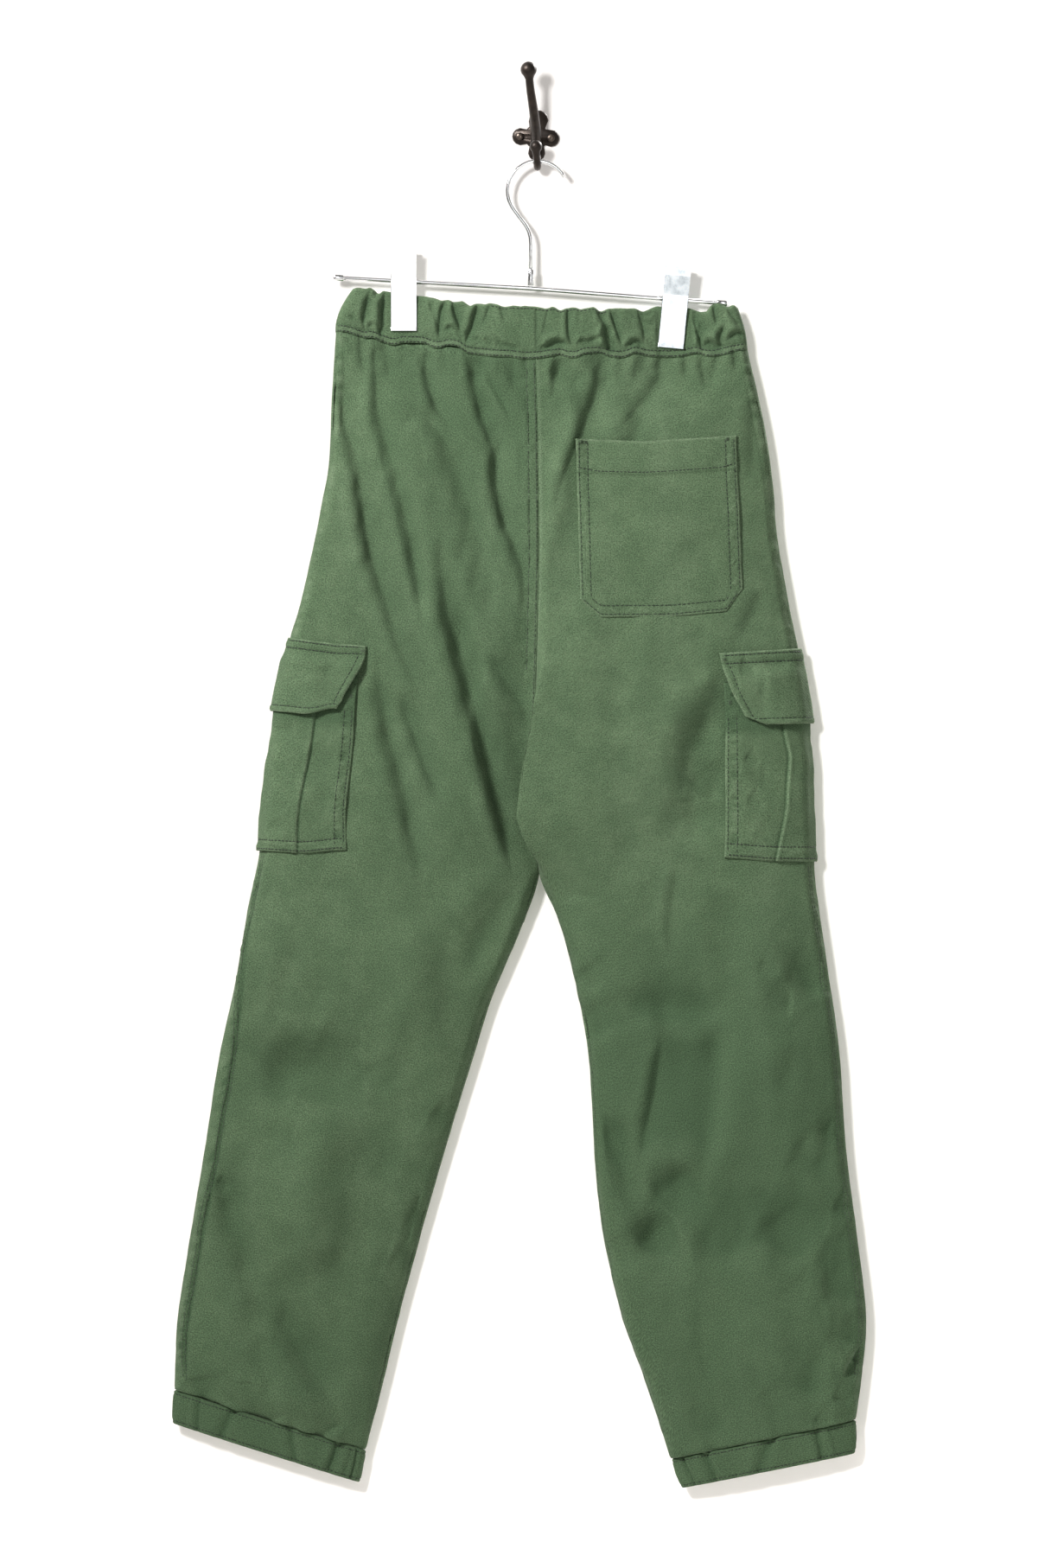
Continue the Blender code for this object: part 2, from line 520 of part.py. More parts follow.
def panel_piece(side, leg, material, collection):
    columns, rows = PANEL_GRID[side, leg]
    outer, wrap = panel_grid(side, leg, columns, rows)
    normals = face_into_body(inward_normals(outer), side)
    square_up(normals, (slice(None), 0), 1)
    closed = wrap > CLOSED_WRAP
    square_up(normals, (closed, -1), 1)
    square_up(normals, (~closed, -1), 0)
    square_up(normals, (0, slice(None)), 2)
    square_up(normals, (-1, slice(None)), 2)
    inner = outer + normals * PANEL_CLOTH
    shift = inner[..., 0] - outer[..., 0]                     # the rims follow their slanted seams
    hem = named(LEG_COLUMNS, LEG_ROWS[leg][-1])
    slant = (hem["inner_drop"] - hem["outer_drop"]) / (hem["inner_x"] - hem["outer_x"])
    inner[-1, :, 2] -= slant * shift[-1]
    inner[0, :, 2] -= (line_through(WAIST_SEAM, inner[0, :, 0])
                       - line_through(WAIST_SEAM, outer[0, :, 0]))
    name = "panel_%s_%s" % ("back" if side == BACK else "front", leg)
    return wall_object(name, outer, inner, material, collection)


# ---------------------------------------------------------------- waistband
def gather_relief(gathers, x, up):
    """Depth of the band's gathers at x, for a share up the band from the seam to the top edge."""
    relief = np.zeros_like(x)
    for row in gathers:
        gather = named(GATHER_COLUMNS, row)
        away = (x - gather["x"] - gather["lean"] * up) / gather["half_width"]
        relief = np.maximum(relief, gather["depth"] * np.exp(-GATHER_SHARPNESS * away ** 2))
    return relief


def clip_flatness(x):
    """0 under a clip's jaws, where the cloth is pressed flat, and 1 away from them."""
    flat = np.ones_like(x)
    for centre in CLIP_X.values():
        flat = np.minimum(flat, ease((np.abs(x - centre) - GRIP_HALF) / GRIP_EDGE))
    return flat


def waistband_piece(side, gathers, material, collection):
    across = spread(BAND_COLUMNS[side] + 1, BAND_EVENNESS)[None, :]
    up = np.linspace(0.0, 1.0, BAND_ROWS + 1)[:, None]
    seam_left, seam_right = LEFT_LEG[0][0], RIGHT_LEG[0][0]
    bow = np.sin(np.pi * up) * BAND_BOW
    left = seam_left + (BAND_ENDS[LEFT] - seam_left) * up ** BAND_TAPER[LEFT] - bow
    right = seam_right + (BAND_ENDS[RIGHT] - seam_right) * up ** BAND_TAPER[RIGHT] + bow
    x = left + (right - left) * across
    seam = line_through(WAIST_SEAM, seam_left + (seam_right - seam_left) * across)
    top = line_through(BAND_TOP, BAND_ENDS[LEFT] + (BAND_ENDS[RIGHT] - BAND_ENDS[LEFT]) * across)
    creases = gather_relief(gathers, x, up) * clip_flatness(x)
    drop = seam + (top + GATHER_DIP * creases - seam) * up
    edge_gap = np.minimum(x - left, right - x)
    rounding = rounded_end(edge_gap)
    plain = line_through(BAND_DEPTH, x) * rounding
    outer = to_points(side, x, drop, plain)
    outer[0, :, 2] += SEAM_GAP / 2
    normals = face_into_body(inward_normals(outer), side)
    for end in (0, -1):
        square_up(normals, (slice(None), end), 1)
        square_up(normals, (end, slice(None)), 2)
    inner = outer + normals * BAND_CLOTH
    swell = BAND_SWELL * np.sin(np.pi * up) * clip_flatness(x)
    outer[..., 1] += side * (swell - creases) * rounding
    name = "waistband_back" if side == BACK else "waistband_front"
    return wall_object(name, outer, inner, material, collection)


# ---------------------------------------------------------------- cuffs
def cuff_piece(leg, material, collection):
    """A ring from the leg's last section down to the hem, gathered by its elastic."""
    hem = named(CUFF_COLUMNS, CUFF_HEM[leg])
    last = named(LEG_COLUMNS, LEG_ROWS[leg][-1])
    angle = 2 * np.pi * (np.arange(CUFF_POINTS) + 0.5)[None, :] / CUFF_POINTS
    down = np.linspace(0.0, 1.0, CUFF_ROWS + 1)[:, None]
    side_share = 0.5 - 0.5 * np.sign(np.cos(angle)) * np.abs(np.cos(angle)) ** CUFF_EDGE_POWER
    depth_share = np.sign(np.sin(angle)) * np.abs(np.sin(angle)) ** (2 / SECTION_POWER)

    def corner(name):
        return last[name] + (hem[name] - last[name]) * down

    x = corner("outer_x") + (corner("inner_x") - corner("outer_x")) * side_share
    drop = corner("outer_drop") + (corner("inner_drop") - corner("outer_drop")) * side_share
    half_depth = last["back"] + (CUFF_DEPTH - last["back"]) * down
    plain = half_depth * depth_share
    crease_angle = CUFF_GATHERS * angle + CUFF_UNEVEN * np.sin(3 * angle)
    creases = CUFF_GATHER_DEPTH * np.cos(crease_angle) ** 4

    def ring(inset, relief):
        centre_x = 0.5 * (corner("outer_x") + corner("inner_x"))
        centre_drop = 0.5 * (corner("outer_drop") + corner("inner_drop"))
        half_width = 0.5 * np.hypot(corner("inner_x") - corner("outer_x"),
                                    corner("inner_drop") - corner("outer_drop"))
        shrink = 1.0 - (inset + relief) / half_width
        thin = 1.0 - (inset + relief) / half_depth
        return np.stack((centre_x + (x - centre_x) * shrink, MID_Y + plain * thin,
                         WAIST_TOP_Z - (centre_drop + (drop - centre_drop) * shrink)), axis=-1)

    outer = ring(0.0, creases)
    inner = ring(CUFF_CLOTH, 0.0)
    for grid in (outer, inner):
        grid[0, :, 2] -= SEAM_GAP / 2
    return wall_object("cuff_" + leg, outer, inner, material, collection, ring=True)


# ---------------------------------------------------------------- pieces laid on the panels
def panel_place(side, leg, x, drop):
    """Shares across and down of the panel's point at a given x and drop, away from its seams."""
    low, high = np.zeros_like(x), np.ones_like(x)
    for _ in range(40):
        down = 0.5 * (low + high)
        outer_x, outer_drop = leg_value(leg, "outer_x", down), leg_value(leg, "outer_drop", down)
        inner_x, inner_drop = leg_value(leg, "inner_x", down), leg_value(leg, "inner_drop", down)
        slope = (inner_drop - outer_drop) / (inner_x - outer_x)
        below = drop > outer_drop + slope * (x - outer_x)
        low, high = np.where(below, down, low), np.where(below, high, down)
    return (x - outer_x) / (inner_x - outer_x), down


def faceted_depth(side, leg, across, down):
    """Depth read from the panel's own facets, so that a piece laid on it follows them."""
    columns, rows = PANEL_GRID[side, leg]
    marks = spread(columns + 1, EVENNESS)
    grid = panel_surface(side, leg, marks[None, :], np.linspace(0, 1, rows + 1)[:, None])[2]
    j = np.minimum((down * rows).astype(int), rows - 1)
    i = np.clip(np.searchsorted(marks, across, side="right") - 1, 0, columns - 1)
    v, u = down * rows - j, (across - marks[i]) / (marks[i + 1] - marks[i])
    corners = ((grid[j, i], (1 - u) * (1 - v)), (grid[j, i + 1], u * (1 - v)),
               (grid[j + 1, i], (1 - u) * v), (grid[j + 1, i + 1], u * v))
    return sum(value * weight for value, weight in corners)


def pocket_side(edge, down):
    """x of a side of the back pocket at shares down it."""
    top, bottom = edge[0][1], edge[-1][1]
    return line_through([(drop, x) for x, drop in edge], top + down * (bottom - top))


def back_pocket_piece(material, collection):
    columns, rows = POCKET_GRID
    across = np.linspace(0.0, 1.0, columns + 1)[None, :]
    hem_rows = 2
    hem_share = POCKET_HEM / (POCKET_BOTTOM[2][1] - POCKET_MOUTH[1][1])
    down = np.concatenate((np.linspace(0.0, hem_share, hem_rows + 1),
                           np.linspace(hem_share + HEM_STEP, 1.0, rows - hem_rows)))[:, None]
    left, right = pocket_side(POCKET_LEFT, down), pocket_side(POCKET_RIGHT, down)
    x = left + (right - left) * across
    mouth, bottom = line_through(POCKET_MOUTH, across), line_through(POCKET_BOTTOM, across)
    drop = mouth + (bottom - mouth) * down
    shares = panel_place(BACK, RIGHT, x, drop)
    depth = faceted_depth(BACK, RIGHT, *shares) + LAY_GAP
    puff = POCKET_PUFF * np.sin(np.pi * across) ** 0.7 * np.sin(np.pi * down ** 0.8) ** 0.8
    hem = HEM_CLOTH * (down < hem_share + HEM_STEP / 2)
    inner = to_points(BACK, x, drop, depth + puff)
    outer = to_points(BACK, x, drop, depth + puff + POCKET_CLOTH + hem)
    return wall_object("pocket_back", outer, inner, material, collection)


def side_down(leg, drop):
    """Share down the leg whose side-seam point has this drop."""
    shares = np.linspace(0.0, 1.0, 400)
    return np.interp(drop, leg_value(leg, "outer_drop", shares), shares)


def round_the_side(leg, arc, down, lift):
    """Points at a distance round the leg from its side seam, on the leg's own facets, moved out.
    A negative arc lies on the back panel. "lift" is the distance out from the panel's face."""
    result = np.zeros(arc.shape + (3,))
    for j in range(arc.shape[0]):
        sides = []
        for side in (BACK, FRONT):
            columns = PANEL_GRID[side, leg][0]
            marks = spread(columns + 1, EVENNESS)
            rows = PANEL_GRID[side, leg][1]
            step = min(int(down[j] * rows), rows - 1)
            k = down[j] * rows - step
            pair = panel_surface(side, leg, marks[None, :], np.array([[step], [step + 1]]) / rows)
            points = to_points(side, *(value[0] * (1 - k) + value[1] * k for value in pair))
            sides.append(points[: columns * 2 // 3])
        line = np.concatenate((sides[0][::-1], sides[1]))
        steps = np.linalg.norm(np.diff(line[:, :2], axis=0), axis=1)
        along = np.concatenate(([0.0], np.cumsum(steps)))
        along -= along[len(sides[0])] - steps[len(sides[0]) - 1] / 2
        fine = np.linspace(along[0], along[-1], 300)
        path = np.stack([np.interp(fine, along, line[:, n]) for n in range(3)], axis=1)
        tangent = np.gradient(path[:, :2], axis=0)
        width = 13
        kernel = np.hanning(width + 2)[1:-1]
        padded = np.pad(tangent, ((width // 2, width // 2), (0, 0)), mode="edge")
        tangent = np.stack([np.convolve(padded[:, n], kernel, "valid") for n in range(2)], axis=1)
        tangent /= np.linalg.norm(tangent, axis=1, keepdims=True)
        outward = np.stack((-tangent[:, 1], tangent[:, 0]), axis=1)
        if (outward[150] * (1.0 if leg == LEFT else -1.0))[0] > 0:
            outward = -outward
        for n in range(3):
            result[j, :, n] = np.interp(arc[j], fine, path[:, n])
        for n in range(2):
            result[j, :, n] += lift[j] * np.interp(arc[j], fine, outward[:, n])
    return result


def pocket_arcs(half, pleat_edge):
    """Places round the leg for a pocket's columns, with close pairs at the pleat's two edges."""
    flank = np.array((half, half * 0.8, half * 0.6, pleat_edge + half * 0.016))
    middle = pleat_edge * np.array((1.0, 0.7, 0.42, 0.2, 0.08))
    one_side = np.concatenate((flank, middle))
    return np.concatenate((-one_side, [0.0], one_side[::-1]))


def panel_rows(leg, first, last, least):
    """Shares down the leg from first to last that fall on the back panel's rows in between."""
    rows = PANEL_GRID[BACK, leg][1]
    marks = np.arange(rows + 1) / rows
    between = marks[(marks > first + least) & (marks < last - least)]
    return np.concatenate(([first], between, [last]))


def cargo_bag_piece(leg, material, collection):
    sizes = CARGO[leg]
    first, last = side_down(leg, np.array((sizes["bag_top"], sizes["bag_bottom"])))
    down = panel_rows(leg, first, last, 0.006)
    arc = np.tile(pocket_arcs(BAG_HALF, PLEAT_HALF), (len(down), 1))
    height = ((down - first) / (last - first))[:, None]
    lay = np.full_like(arc, LAY_GAP)
    raised = ease((PLEAT_HALF + PLEAT_EDGE - np.abs(arc)) / PLEAT_EDGE)
    fullness = np.sin(np.pi * np.clip(height, 0, 1))
    lay_out = lay + BAG_BELLY * fullness * ease((BAG_HALF - np.abs(arc)) / BAG_BELLY_EDGE)
    outer_lift = lay_out + BAG_CLOTH + PLEAT_RISE * raised * (0.55 + 0.45 * fullness)
    outer = round_the_side(leg, arc, down, outer_lift)
    inner = round_the_side(leg, arc, down, lay_out)
    return wall_object("cargo_bag_" + leg, outer, inner, material, collection)


def cargo_flap_piece(leg, material, collection):
    sizes = CARGO[leg]
    first, last = side_down(leg, np.array((sizes["flap_top"], sizes["flap_bottom"])))
    stitched = first + FLAP_STITCHED * (last - first)
    down = np.unique(np.concatenate((panel_rows(leg, first, last, 0.004),
                                     (stitched, stitched + FLAP_BEND),
                                     first + np.array((FLAP_OVER, 0.6)) * (last - first))))
    shares = (down - first) / (last - first)
    narrowing = ease((shares - FLAP_STITCHED) / (1.0 - FLAP_STITCHED)) ** 0.8
    half = FLAP_HALF_TOP + (FLAP_HALF_BOTTOM - FLAP_HALF_TOP) * narrowing
    pattern = pocket_arcs(1.0, 0.36)
    arc = half[:, None] * pattern[None, :]
    over = ease((shares - FLAP_STITCHED) / (FLAP_OVER - FLAP_STITCHED))[:, None]
    middle = ease((PLEAT_HALF + FLAP_EASE[0] - np.abs(arc)) / FLAP_EASE[1])
    over_bag = BAG_CLOTH + FLAP_CLEAR + PLEAT_RISE * middle
    lift = LAY_GAP + over * (over_bag + FLAP_FLARE * shares[:, None] ** 2)
    inner = round_the_side(leg, arc, down, lift)
    outer = round_the_side(leg, arc, down, lift + FLAP_CLOTH)
    return wall_object("cargo_flap_" + leg, outer, inner, material, collection)


# ---------------------------------------------------------------- hanger
def wire_object(name, points, radius, material, collection, resolution=2, radii=None):
    """A round bar along a list of points, in millimetres."""
    curve = bpy.data.curves.new(name, "CURVE")
    curve.dimensions = "3D"
    curve.bevel_depth = radius * METRE
    curve.bevel_resolution = resolution
    curve.use_fill_caps = True
    spline = curve.splines.new("POLY")
    spline.points.add(len(points) - 1)
    for index, point in enumerate(points):
        spline.points[index].co = (*(value * METRE for value in point), 1.0)
        spline.points[index].radius = radii[index] if radii else 1.0
    spline.use_smooth = True
    return add_object(name, curve, material, collection)


def hook_points():
    """Centre line of the hanger's hook, from its free tip over the top and down to the ferrule."""
    centre_x, centre_z = HOOK_CENTRE
    points = []
    for angle in np.linspace(HOOK_TIP_ANGLE, HOOK_END_ANGLE, 20):
        points.append((centre_x + HOOK_BEND * math.cos(math.radians(angle)), MID_Y,
                       centre_z + HOOK_BEND * math.sin(math.radians(angle))))
    start = Vector(points[-1])
    tangent = (start - Vector(points[-2])).normalized()
    end = Vector((FERRULE_X, MID_Y, FERRULE_TOP + HOOK_STEM))
    one = start + tangent * HOOK_PULL
    two = end + Vector((0.0, 0.0, HOOK_PULL))
    for k in np.linspace(0.15, 1.0, 7):
        point = ((1 - k) ** 3 * start + 3 * (1 - k) ** 2 * k * one
                 + 3 * (1 - k) * k ** 2 * two + k ** 3 * end)
        points.append(tuple(point))
    points.append((FERRULE_X, MID_Y, FERRULE_TOP - STEM_SEATED))
    return points


def turned_object(name, profile, segments, matrix, material, collection):
    """A closed ring or plug: a profile of radius and height, top to bottom, turned about Z."""
    data = bpy.data.meshes.new(name)
    outline = [(radius * METRE, 0.0, height * METRE) for radius, height in profile]
    closed = profile[0][0] > 0.0 and profile[-1][0] > 0.0
    edges = [(n, n + 1) for n in range(len(outline) - 1)]
    if closed:
        edges.append((len(outline) - 1, 0))
    data.from_pydata(outline, edges, [])
    piece = add_object(name, data, material, collection)
    screw = piece.modifiers.new("turn", "SCREW")
    screw.axis = "Z"
    screw.angle = 2 * math.pi
    screw.steps = segments
    screw.render_steps = segments
    screw.use_merge_vertices = True
    screw.merge_threshold = 0.00001
    screw.use_smooth_shade = True
    piece.matrix_world = matrix
    return piece


def bar_matrix(start, end):
    """Place and turn that lays an object's Z axis from one point towards another."""
    start, end = Vector(start), Vector(end)
    turn = (end - start).to_track_quat("Z", "Y").to_matrix().to_4x4()
    return Matrix.Translation(start * METRE) @ turn


def hanger_pieces(chrome, collection):
    wire_object("hanger_hook", hook_points(), HOOK_WIRE_RADIUS, chrome, collection)
    rail_top = RAIL_MIDDLE[1] + RAIL_RADIUS
    bottom = rail_top + SEAM_GAP
    bore = HOOK_WIRE_RADIUS + SEAM_GAP
    height = FERRULE_TOP - bottom
    floor = FERRULE_TOP - STEM_SEATED - bottom - SEAM_GAP
    profile = ((bore, height), (FERRULE_RADIUS - 0.3, height), (FERRULE_RADIUS, height - 0.5),
               (FERRULE_RADIUS, 0.5), (FERRULE_RADIUS - 0.4, 0.0), (0.0, 0.0))
    inside = ((0.0, floor), (bore, floor))
    place = Matrix.Translation(Vector((FERRULE_X, MID_Y, bottom)) * METRE)
    turned_object("hanger_ferrule", inside + profile, 14, place, chrome, collection)

    ends = {leg: (x, MID_Y, z) for leg, (x, z) in RAIL_ENDS.items()}
    middle = (RAIL_MIDDLE[0], MID_Y, RAIL_MIDDLE[1])
    rail = [tuple(Vector(ends[LEFT]).lerp(Vector(middle), k)) for k in (0.0, 0.5, 0.96)]
    rail += [tuple(Vector(middle).lerp(Vector(ends[RIGHT]), k)) for k in (0.04, 0.5, 1.0)]
    wire_object("hanger_rail", rail, RAIL_RADIUS, chrome, collection, resolution=3)

    for leg, end in ends.items():
        away = (Vector(end) - Vector(middle)).normalized()
        start = Vector(end) + away * SEAM_GAP
        cap = ((0.0, CAP_LENGTH), (CAP_RADIUS * 0.6, CAP_LENGTH - 0.25),
               (CAP_RADIUS * 0.93, CAP_LENGTH - 1.1), (CAP_RADIUS, CAP_LENGTH - 2.4),
               (CAP_RADIUS, 0.5), (CAP_RADIUS - 0.4, 0.0), (0.0, 0.0))
        turned_object("hanger_cap_" + leg, cap, 14, bar_matrix(start, start + away), chrome,
                      collection)


def clip_matrix(leg):
    place = Matrix.Translation(Vector((CLIP_X[leg], MID_Y, CLIP_PIVOT_Z[leg])) * METRE)
    return place @ Matrix.Rotation(math.radians(CLIP_LEAN[leg]), 4, "Y")


def clip_plate(leg, side, chrome, collection):
    """A pressed plate: flat across, with two flanges turned in towards the mid plane."""
    half = CLIP_WIDTH / 2
    heights, faces, flanges = (np.array(values)[:, None] for values in zip(*CLIP_PROFILE))
    shares = np.array((-1.0, -1.0, -0.96, 0.0, 0.96, 1.0, 1.0))[None, :]
    turned_in = np.array((1.0, 0.25, 0.0, 0.0, 0.0, 0.25, 1.0))[None, :]
    x = half * shares + 0.0 * heights
    distance = faces + CLIP_SHEET - (flanges + CLIP_SHEET * 0.5) * turned_in
    outer = np.stack((x, side * distance, heights + 0.0 * x), axis=-1)
    inner_x = (half - CLIP_SHEET) * shares + 0.0 * heights
    inner_distance = faces - flanges * turned_in
    inner_distance = np.minimum(inner_distance, distance - 0.2)
    inner = np.stack((inner_x, side * inner_distance, heights + 0.0 * x), axis=-1)
    name = "clip_%s_%s" % (leg, "back" if side == BACK else "front")
    piece = wall_object(name, outer, inner, chrome, collection)
    piece.matrix_world = clip_matrix(leg)
    return piece


def clip_pieces(leg, chrome, collection):
    for side in (BACK, FRONT):
        clip_plate(leg, side, chrome, collection)
    toward = Vector(RAIL_MIDDLE) - Vector(RAIL_ENDS[leg])
    direction = Vector((toward.x, 0.0, toward.y)).normalized()
    share = (CLIP_X[leg] - RAIL_ENDS[leg][0]) / (RAIL_MIDDLE[0] - RAIL_ENDS[leg][0])
    on_rail = Vector((CLIP_X[leg], MID_Y, RAIL_ENDS[leg][1] + share * toward.y))
    half = SPRING_LENGTH / 2
    profile = ((SPRING_BORE, half), (SPRING_RADIUS - 0.3, half), (SPRING_RADIUS, half - 0.4),
               (SPRING_RADIUS, 0.4 - half), (SPRING_RADIUS - 0.3, -half), (SPRING_BORE, -half))
    matrix = bar_matrix(on_rail, on_rail + direction)
    turned_object("clip_%s_spring" % leg, profile, 14, matrix, chrome, collection)


# ---------------------------------------------------------------- wall hook
def mesh_from(piece):
    """The evaluated mesh of a curve or modified object, welded, in world place."""
    depsgraph = bpy.context.evaluated_depsgraph_get()
    data = bpy.data.meshes.new_from_object(piece.evaluated_get(depsgraph))
    data.transform(piece.matrix_world)
    welded = bmesh.new()
    welded.from_mesh(data)
    bmesh.ops.remove_doubles(welded, verts=welded.verts, dist=0.000001)
    bmesh.ops.recalc_face_normals(welded, faces=welded.faces)
    welded.to_mesh(data)
    welded.free()
    bpy.data.objects.remove(piece, do_unlink=True)
    return data


def arm_mesh(rows, ball, material, collection):
    """A tapering arm on a smooth path that ends in a ball."""
    y, z, x, radius = (np.array(values) for values in zip(*rows))
    shares = np.linspace(0.0, 1.0, 2 * (len(rows) - 1) + 1)
    path = np.stack((through(x, shares), through(y, shares), through(z, shares)), axis=1)
    radii = list(through(radius, shares))
    ball_y, ball_z, ball_x, ball_radius = ball
    centre = np.array((ball_x, ball_y, ball_z))
    away = centre - path[-1]
    away /= np.linalg.norm(away)
    points = list(path)
    for angle in np.linspace(138.0, 6.0, 7):
        points.append(centre + away * ball_radius * math.cos(math.radians(angle)))
        radii.append(ball_radius * math.sin(math.radians(angle)))
    wire = wire_object("arm", points, 1.0, material, collection, resolution=2, radii=radii)
    return mesh_from(wire)


def plate_mesh():
    """Plate with four lobes round its middle: an outline extruded, its front edge rounded over."""
    angles = np.radians(np.arange(0.0, 360.0, PLATE_STEP))
    reach = np.zeros_like(angles)
    for x, z, radius in PLATE_LOBES:
        forward = x * np.cos(angles) + z * np.sin(angles)
        aside = x * np.sin(angles) - z * np.cos(angles)
        far = forward + np.sqrt(np.maximum(radius ** 2 - aside ** 2, 0.0))
        reach = np.maximum(reach, np.where(np.abs(aside) < radius, far, 0.0))
    plate = bmesh.new()
    rings = []
    for depth, inset in ((0.0, 0.0), (PLATE_THICKNESS * 0.6, 0.0), (PLATE_THICKNESS, 1.5)):
        rings.append([plate.verts.new(Vector(((r - inset) * math.cos(a), -depth,
                                              (r - inset) * math.sin(a))) * METRE)
                      for a, r in zip(angles, reach)])
    plate.faces.new(rings[0])
    plate.faces.new(rings[-1])
    for lower, upper in zip(rings, rings[1:]):
        for n in range(len(angles)):
            following = (n + 1) % len(angles)
            plate.faces.new((lower[n], lower[following], upper[following], upper[n]))
    bmesh.ops.recalc_face_normals(plate, faces=plate.faces)
    data = bpy.data.meshes.new("wall_hook")
    plate.to_mesh(data)
    plate.free()
    return data


def join(piece, other, operation):
    cut = piece.modifiers.new(other.name, "BOOLEAN")
    cut.operation = operation
    cut.object = other
    cut.solver = "EXACT"


def wall_hook_pieces(iron, steel, collection, cutters):
    casting = add_object("wall_hook", plate_mesh(), iron, collection)
    for label, rows, ball in (("upper", UPPER_ARM, UPPER_BALL), ("lower", LOWER_ARM, LOWER_BALL)):
        arm = bpy.data.objects.new(label + "_arm", arm_mesh(rows, ball, iron, cutters))
        cutters.objects.link(arm)
        arm.hide_render = True
        arm.display_type = "WIRE"
        join(casting, arm, "UNION")
    for leg, (x, z) in SCREW_PLACES.items():
        drill = bmesh.new()
        turn = Matrix.Rotation(math.radians(90), 4, "X")
        place = Matrix.Translation(Vector((x, -PLATE_THICKNESS / 2, z)) * METRE)
        bmesh.ops.create_cone(drill, cap_ends=True, segments=12, radius1=SCREW_HOLE * METRE,
                              radius2=SCREW_HOLE * METRE, depth=3 * PLATE_THICKNESS * METRE,
                              matrix=place @ turn)
        data = bpy.data.meshes.new("hole_" + leg)
        drill.to_mesh(data)
        drill.free()
        hole = bpy.data.objects.new("hole_" + leg, data)
        cutters.objects.link(hole)
        hole.hide_render = True
        hole.display_type = "WIRE"
        join(casting, hole, "DIFFERENCE")

        face = PLATE_THICKNESS + SEAM_GAP
        dome = [(SCREW_HEAD * math.sin(a), face + 0.5 + 1.1 * math.cos(a))
                for a in np.linspace(0.35, math.pi / 2, 4)]
        profile = ([(0.0, face + 1.0), (0.35, face + 1.0), (0.6, face + 1.55)] + dome
                   + [(SCREW_HEAD, face), (SCREW_SHANK, face), (SCREW_SHANK, SEAM_GAP),
                      (0.0, SEAM_GAP)])
        place = Matrix.Translation(Vector((x, 0.0, z)) * METRE)
        turned_object("screw_" + leg, profile, 12, place @ turn, steel, collection)


# ---------------------------------------------------------------- the whole part
def build():
    clear_scene()
    parts = make_collection("cargo_pants_on_hanger")
    cutters = make_collection("cutters")
    twill, chrome, iron, steel = (make_material(name) for name in MATERIALS)

    for side in (BACK, FRONT):
        for leg in (LEFT, RIGHT):
            panel_piece(side, leg, twill, parts)
    waistband_piece(BACK, BACK_GATHERS, twill, parts)
    waistband_piece(FRONT, FRONT_GATHERS, twill, parts)
    back_pocket_piece(twill, parts)
    for leg in (LEFT, RIGHT):
        cuff_piece(leg, twill, parts)
        cargo_bag_piece(leg, twill, parts)
        cargo_flap_piece(leg, twill, parts)

    hanger_pieces(chrome, parts)
    for leg in (LEFT, RIGHT):
        clip_pieces(leg, chrome, parts)
    wall_hook_pieces(iron, steel, parts, cutters)


build()
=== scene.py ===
# Easy-fit cargo trousers on a clip hanger and a cast wall hook: the cloth, its sewing and finishes.
import math

import bmesh
import bpy
import numpy as np
from mathutils import Matrix, Vector
from mathutils.bvhtree import BVHTree


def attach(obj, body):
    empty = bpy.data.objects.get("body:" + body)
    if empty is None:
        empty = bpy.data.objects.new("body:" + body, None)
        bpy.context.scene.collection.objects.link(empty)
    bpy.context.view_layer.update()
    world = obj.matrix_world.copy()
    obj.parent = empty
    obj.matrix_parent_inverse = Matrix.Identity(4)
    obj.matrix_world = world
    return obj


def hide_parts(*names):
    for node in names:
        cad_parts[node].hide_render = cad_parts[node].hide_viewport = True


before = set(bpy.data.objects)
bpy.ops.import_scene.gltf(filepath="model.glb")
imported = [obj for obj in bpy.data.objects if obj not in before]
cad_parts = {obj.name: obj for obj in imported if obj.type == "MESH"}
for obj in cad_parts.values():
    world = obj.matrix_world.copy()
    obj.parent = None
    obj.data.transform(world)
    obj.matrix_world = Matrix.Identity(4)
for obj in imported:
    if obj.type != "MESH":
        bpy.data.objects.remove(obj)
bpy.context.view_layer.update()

mm = 0.001
waistTop = -139.3          # z of the waistband's top at the centre back, drops are measured down from it
midY = -26.0               # mid plane of the hanging cloth
weld = 0.00001             # points of a CAD solid that are this close, in metres, are one point
legs = ("left", "right")
faces = ("back", "front")
scene = bpy.context.scene


# ---- small helpers

def ease(k):
    k = np.clip(k, 0.0, 1.0)
    return k * k * (3 - 2 * k)


def bell(away, width):
    return np.exp(-((away / width) ** 2))


def between(pair, share):
    return pair[0] + (pair[1] - pair[0]) * share


def alongCurve(values, shares):
    # smooth curve through evenly spaced rows of values, read at shares from 0 to 1
    values = np.asarray(values, float)
    ends = [2 * values[0] - values[1]], [2 * values[-1] - values[-2]]
    padded = np.concatenate((ends[0], values, ends[1]))
    place = np.clip(np.asarray(shares, float), 0, 1) * (len(values) - 1)
    step = np.minimum(place.astype(int), len(values) - 2)
    k = (place - step).reshape((-1,) + (1,) * (values.ndim - 1))
    a, b, c, d = (padded[step + n] for n in range(4))
    return b + 0.5 * k * (c - a + k * (2 * a - 5 * b + 4 * c - d + k * (3 * (b - c) + d - a)))


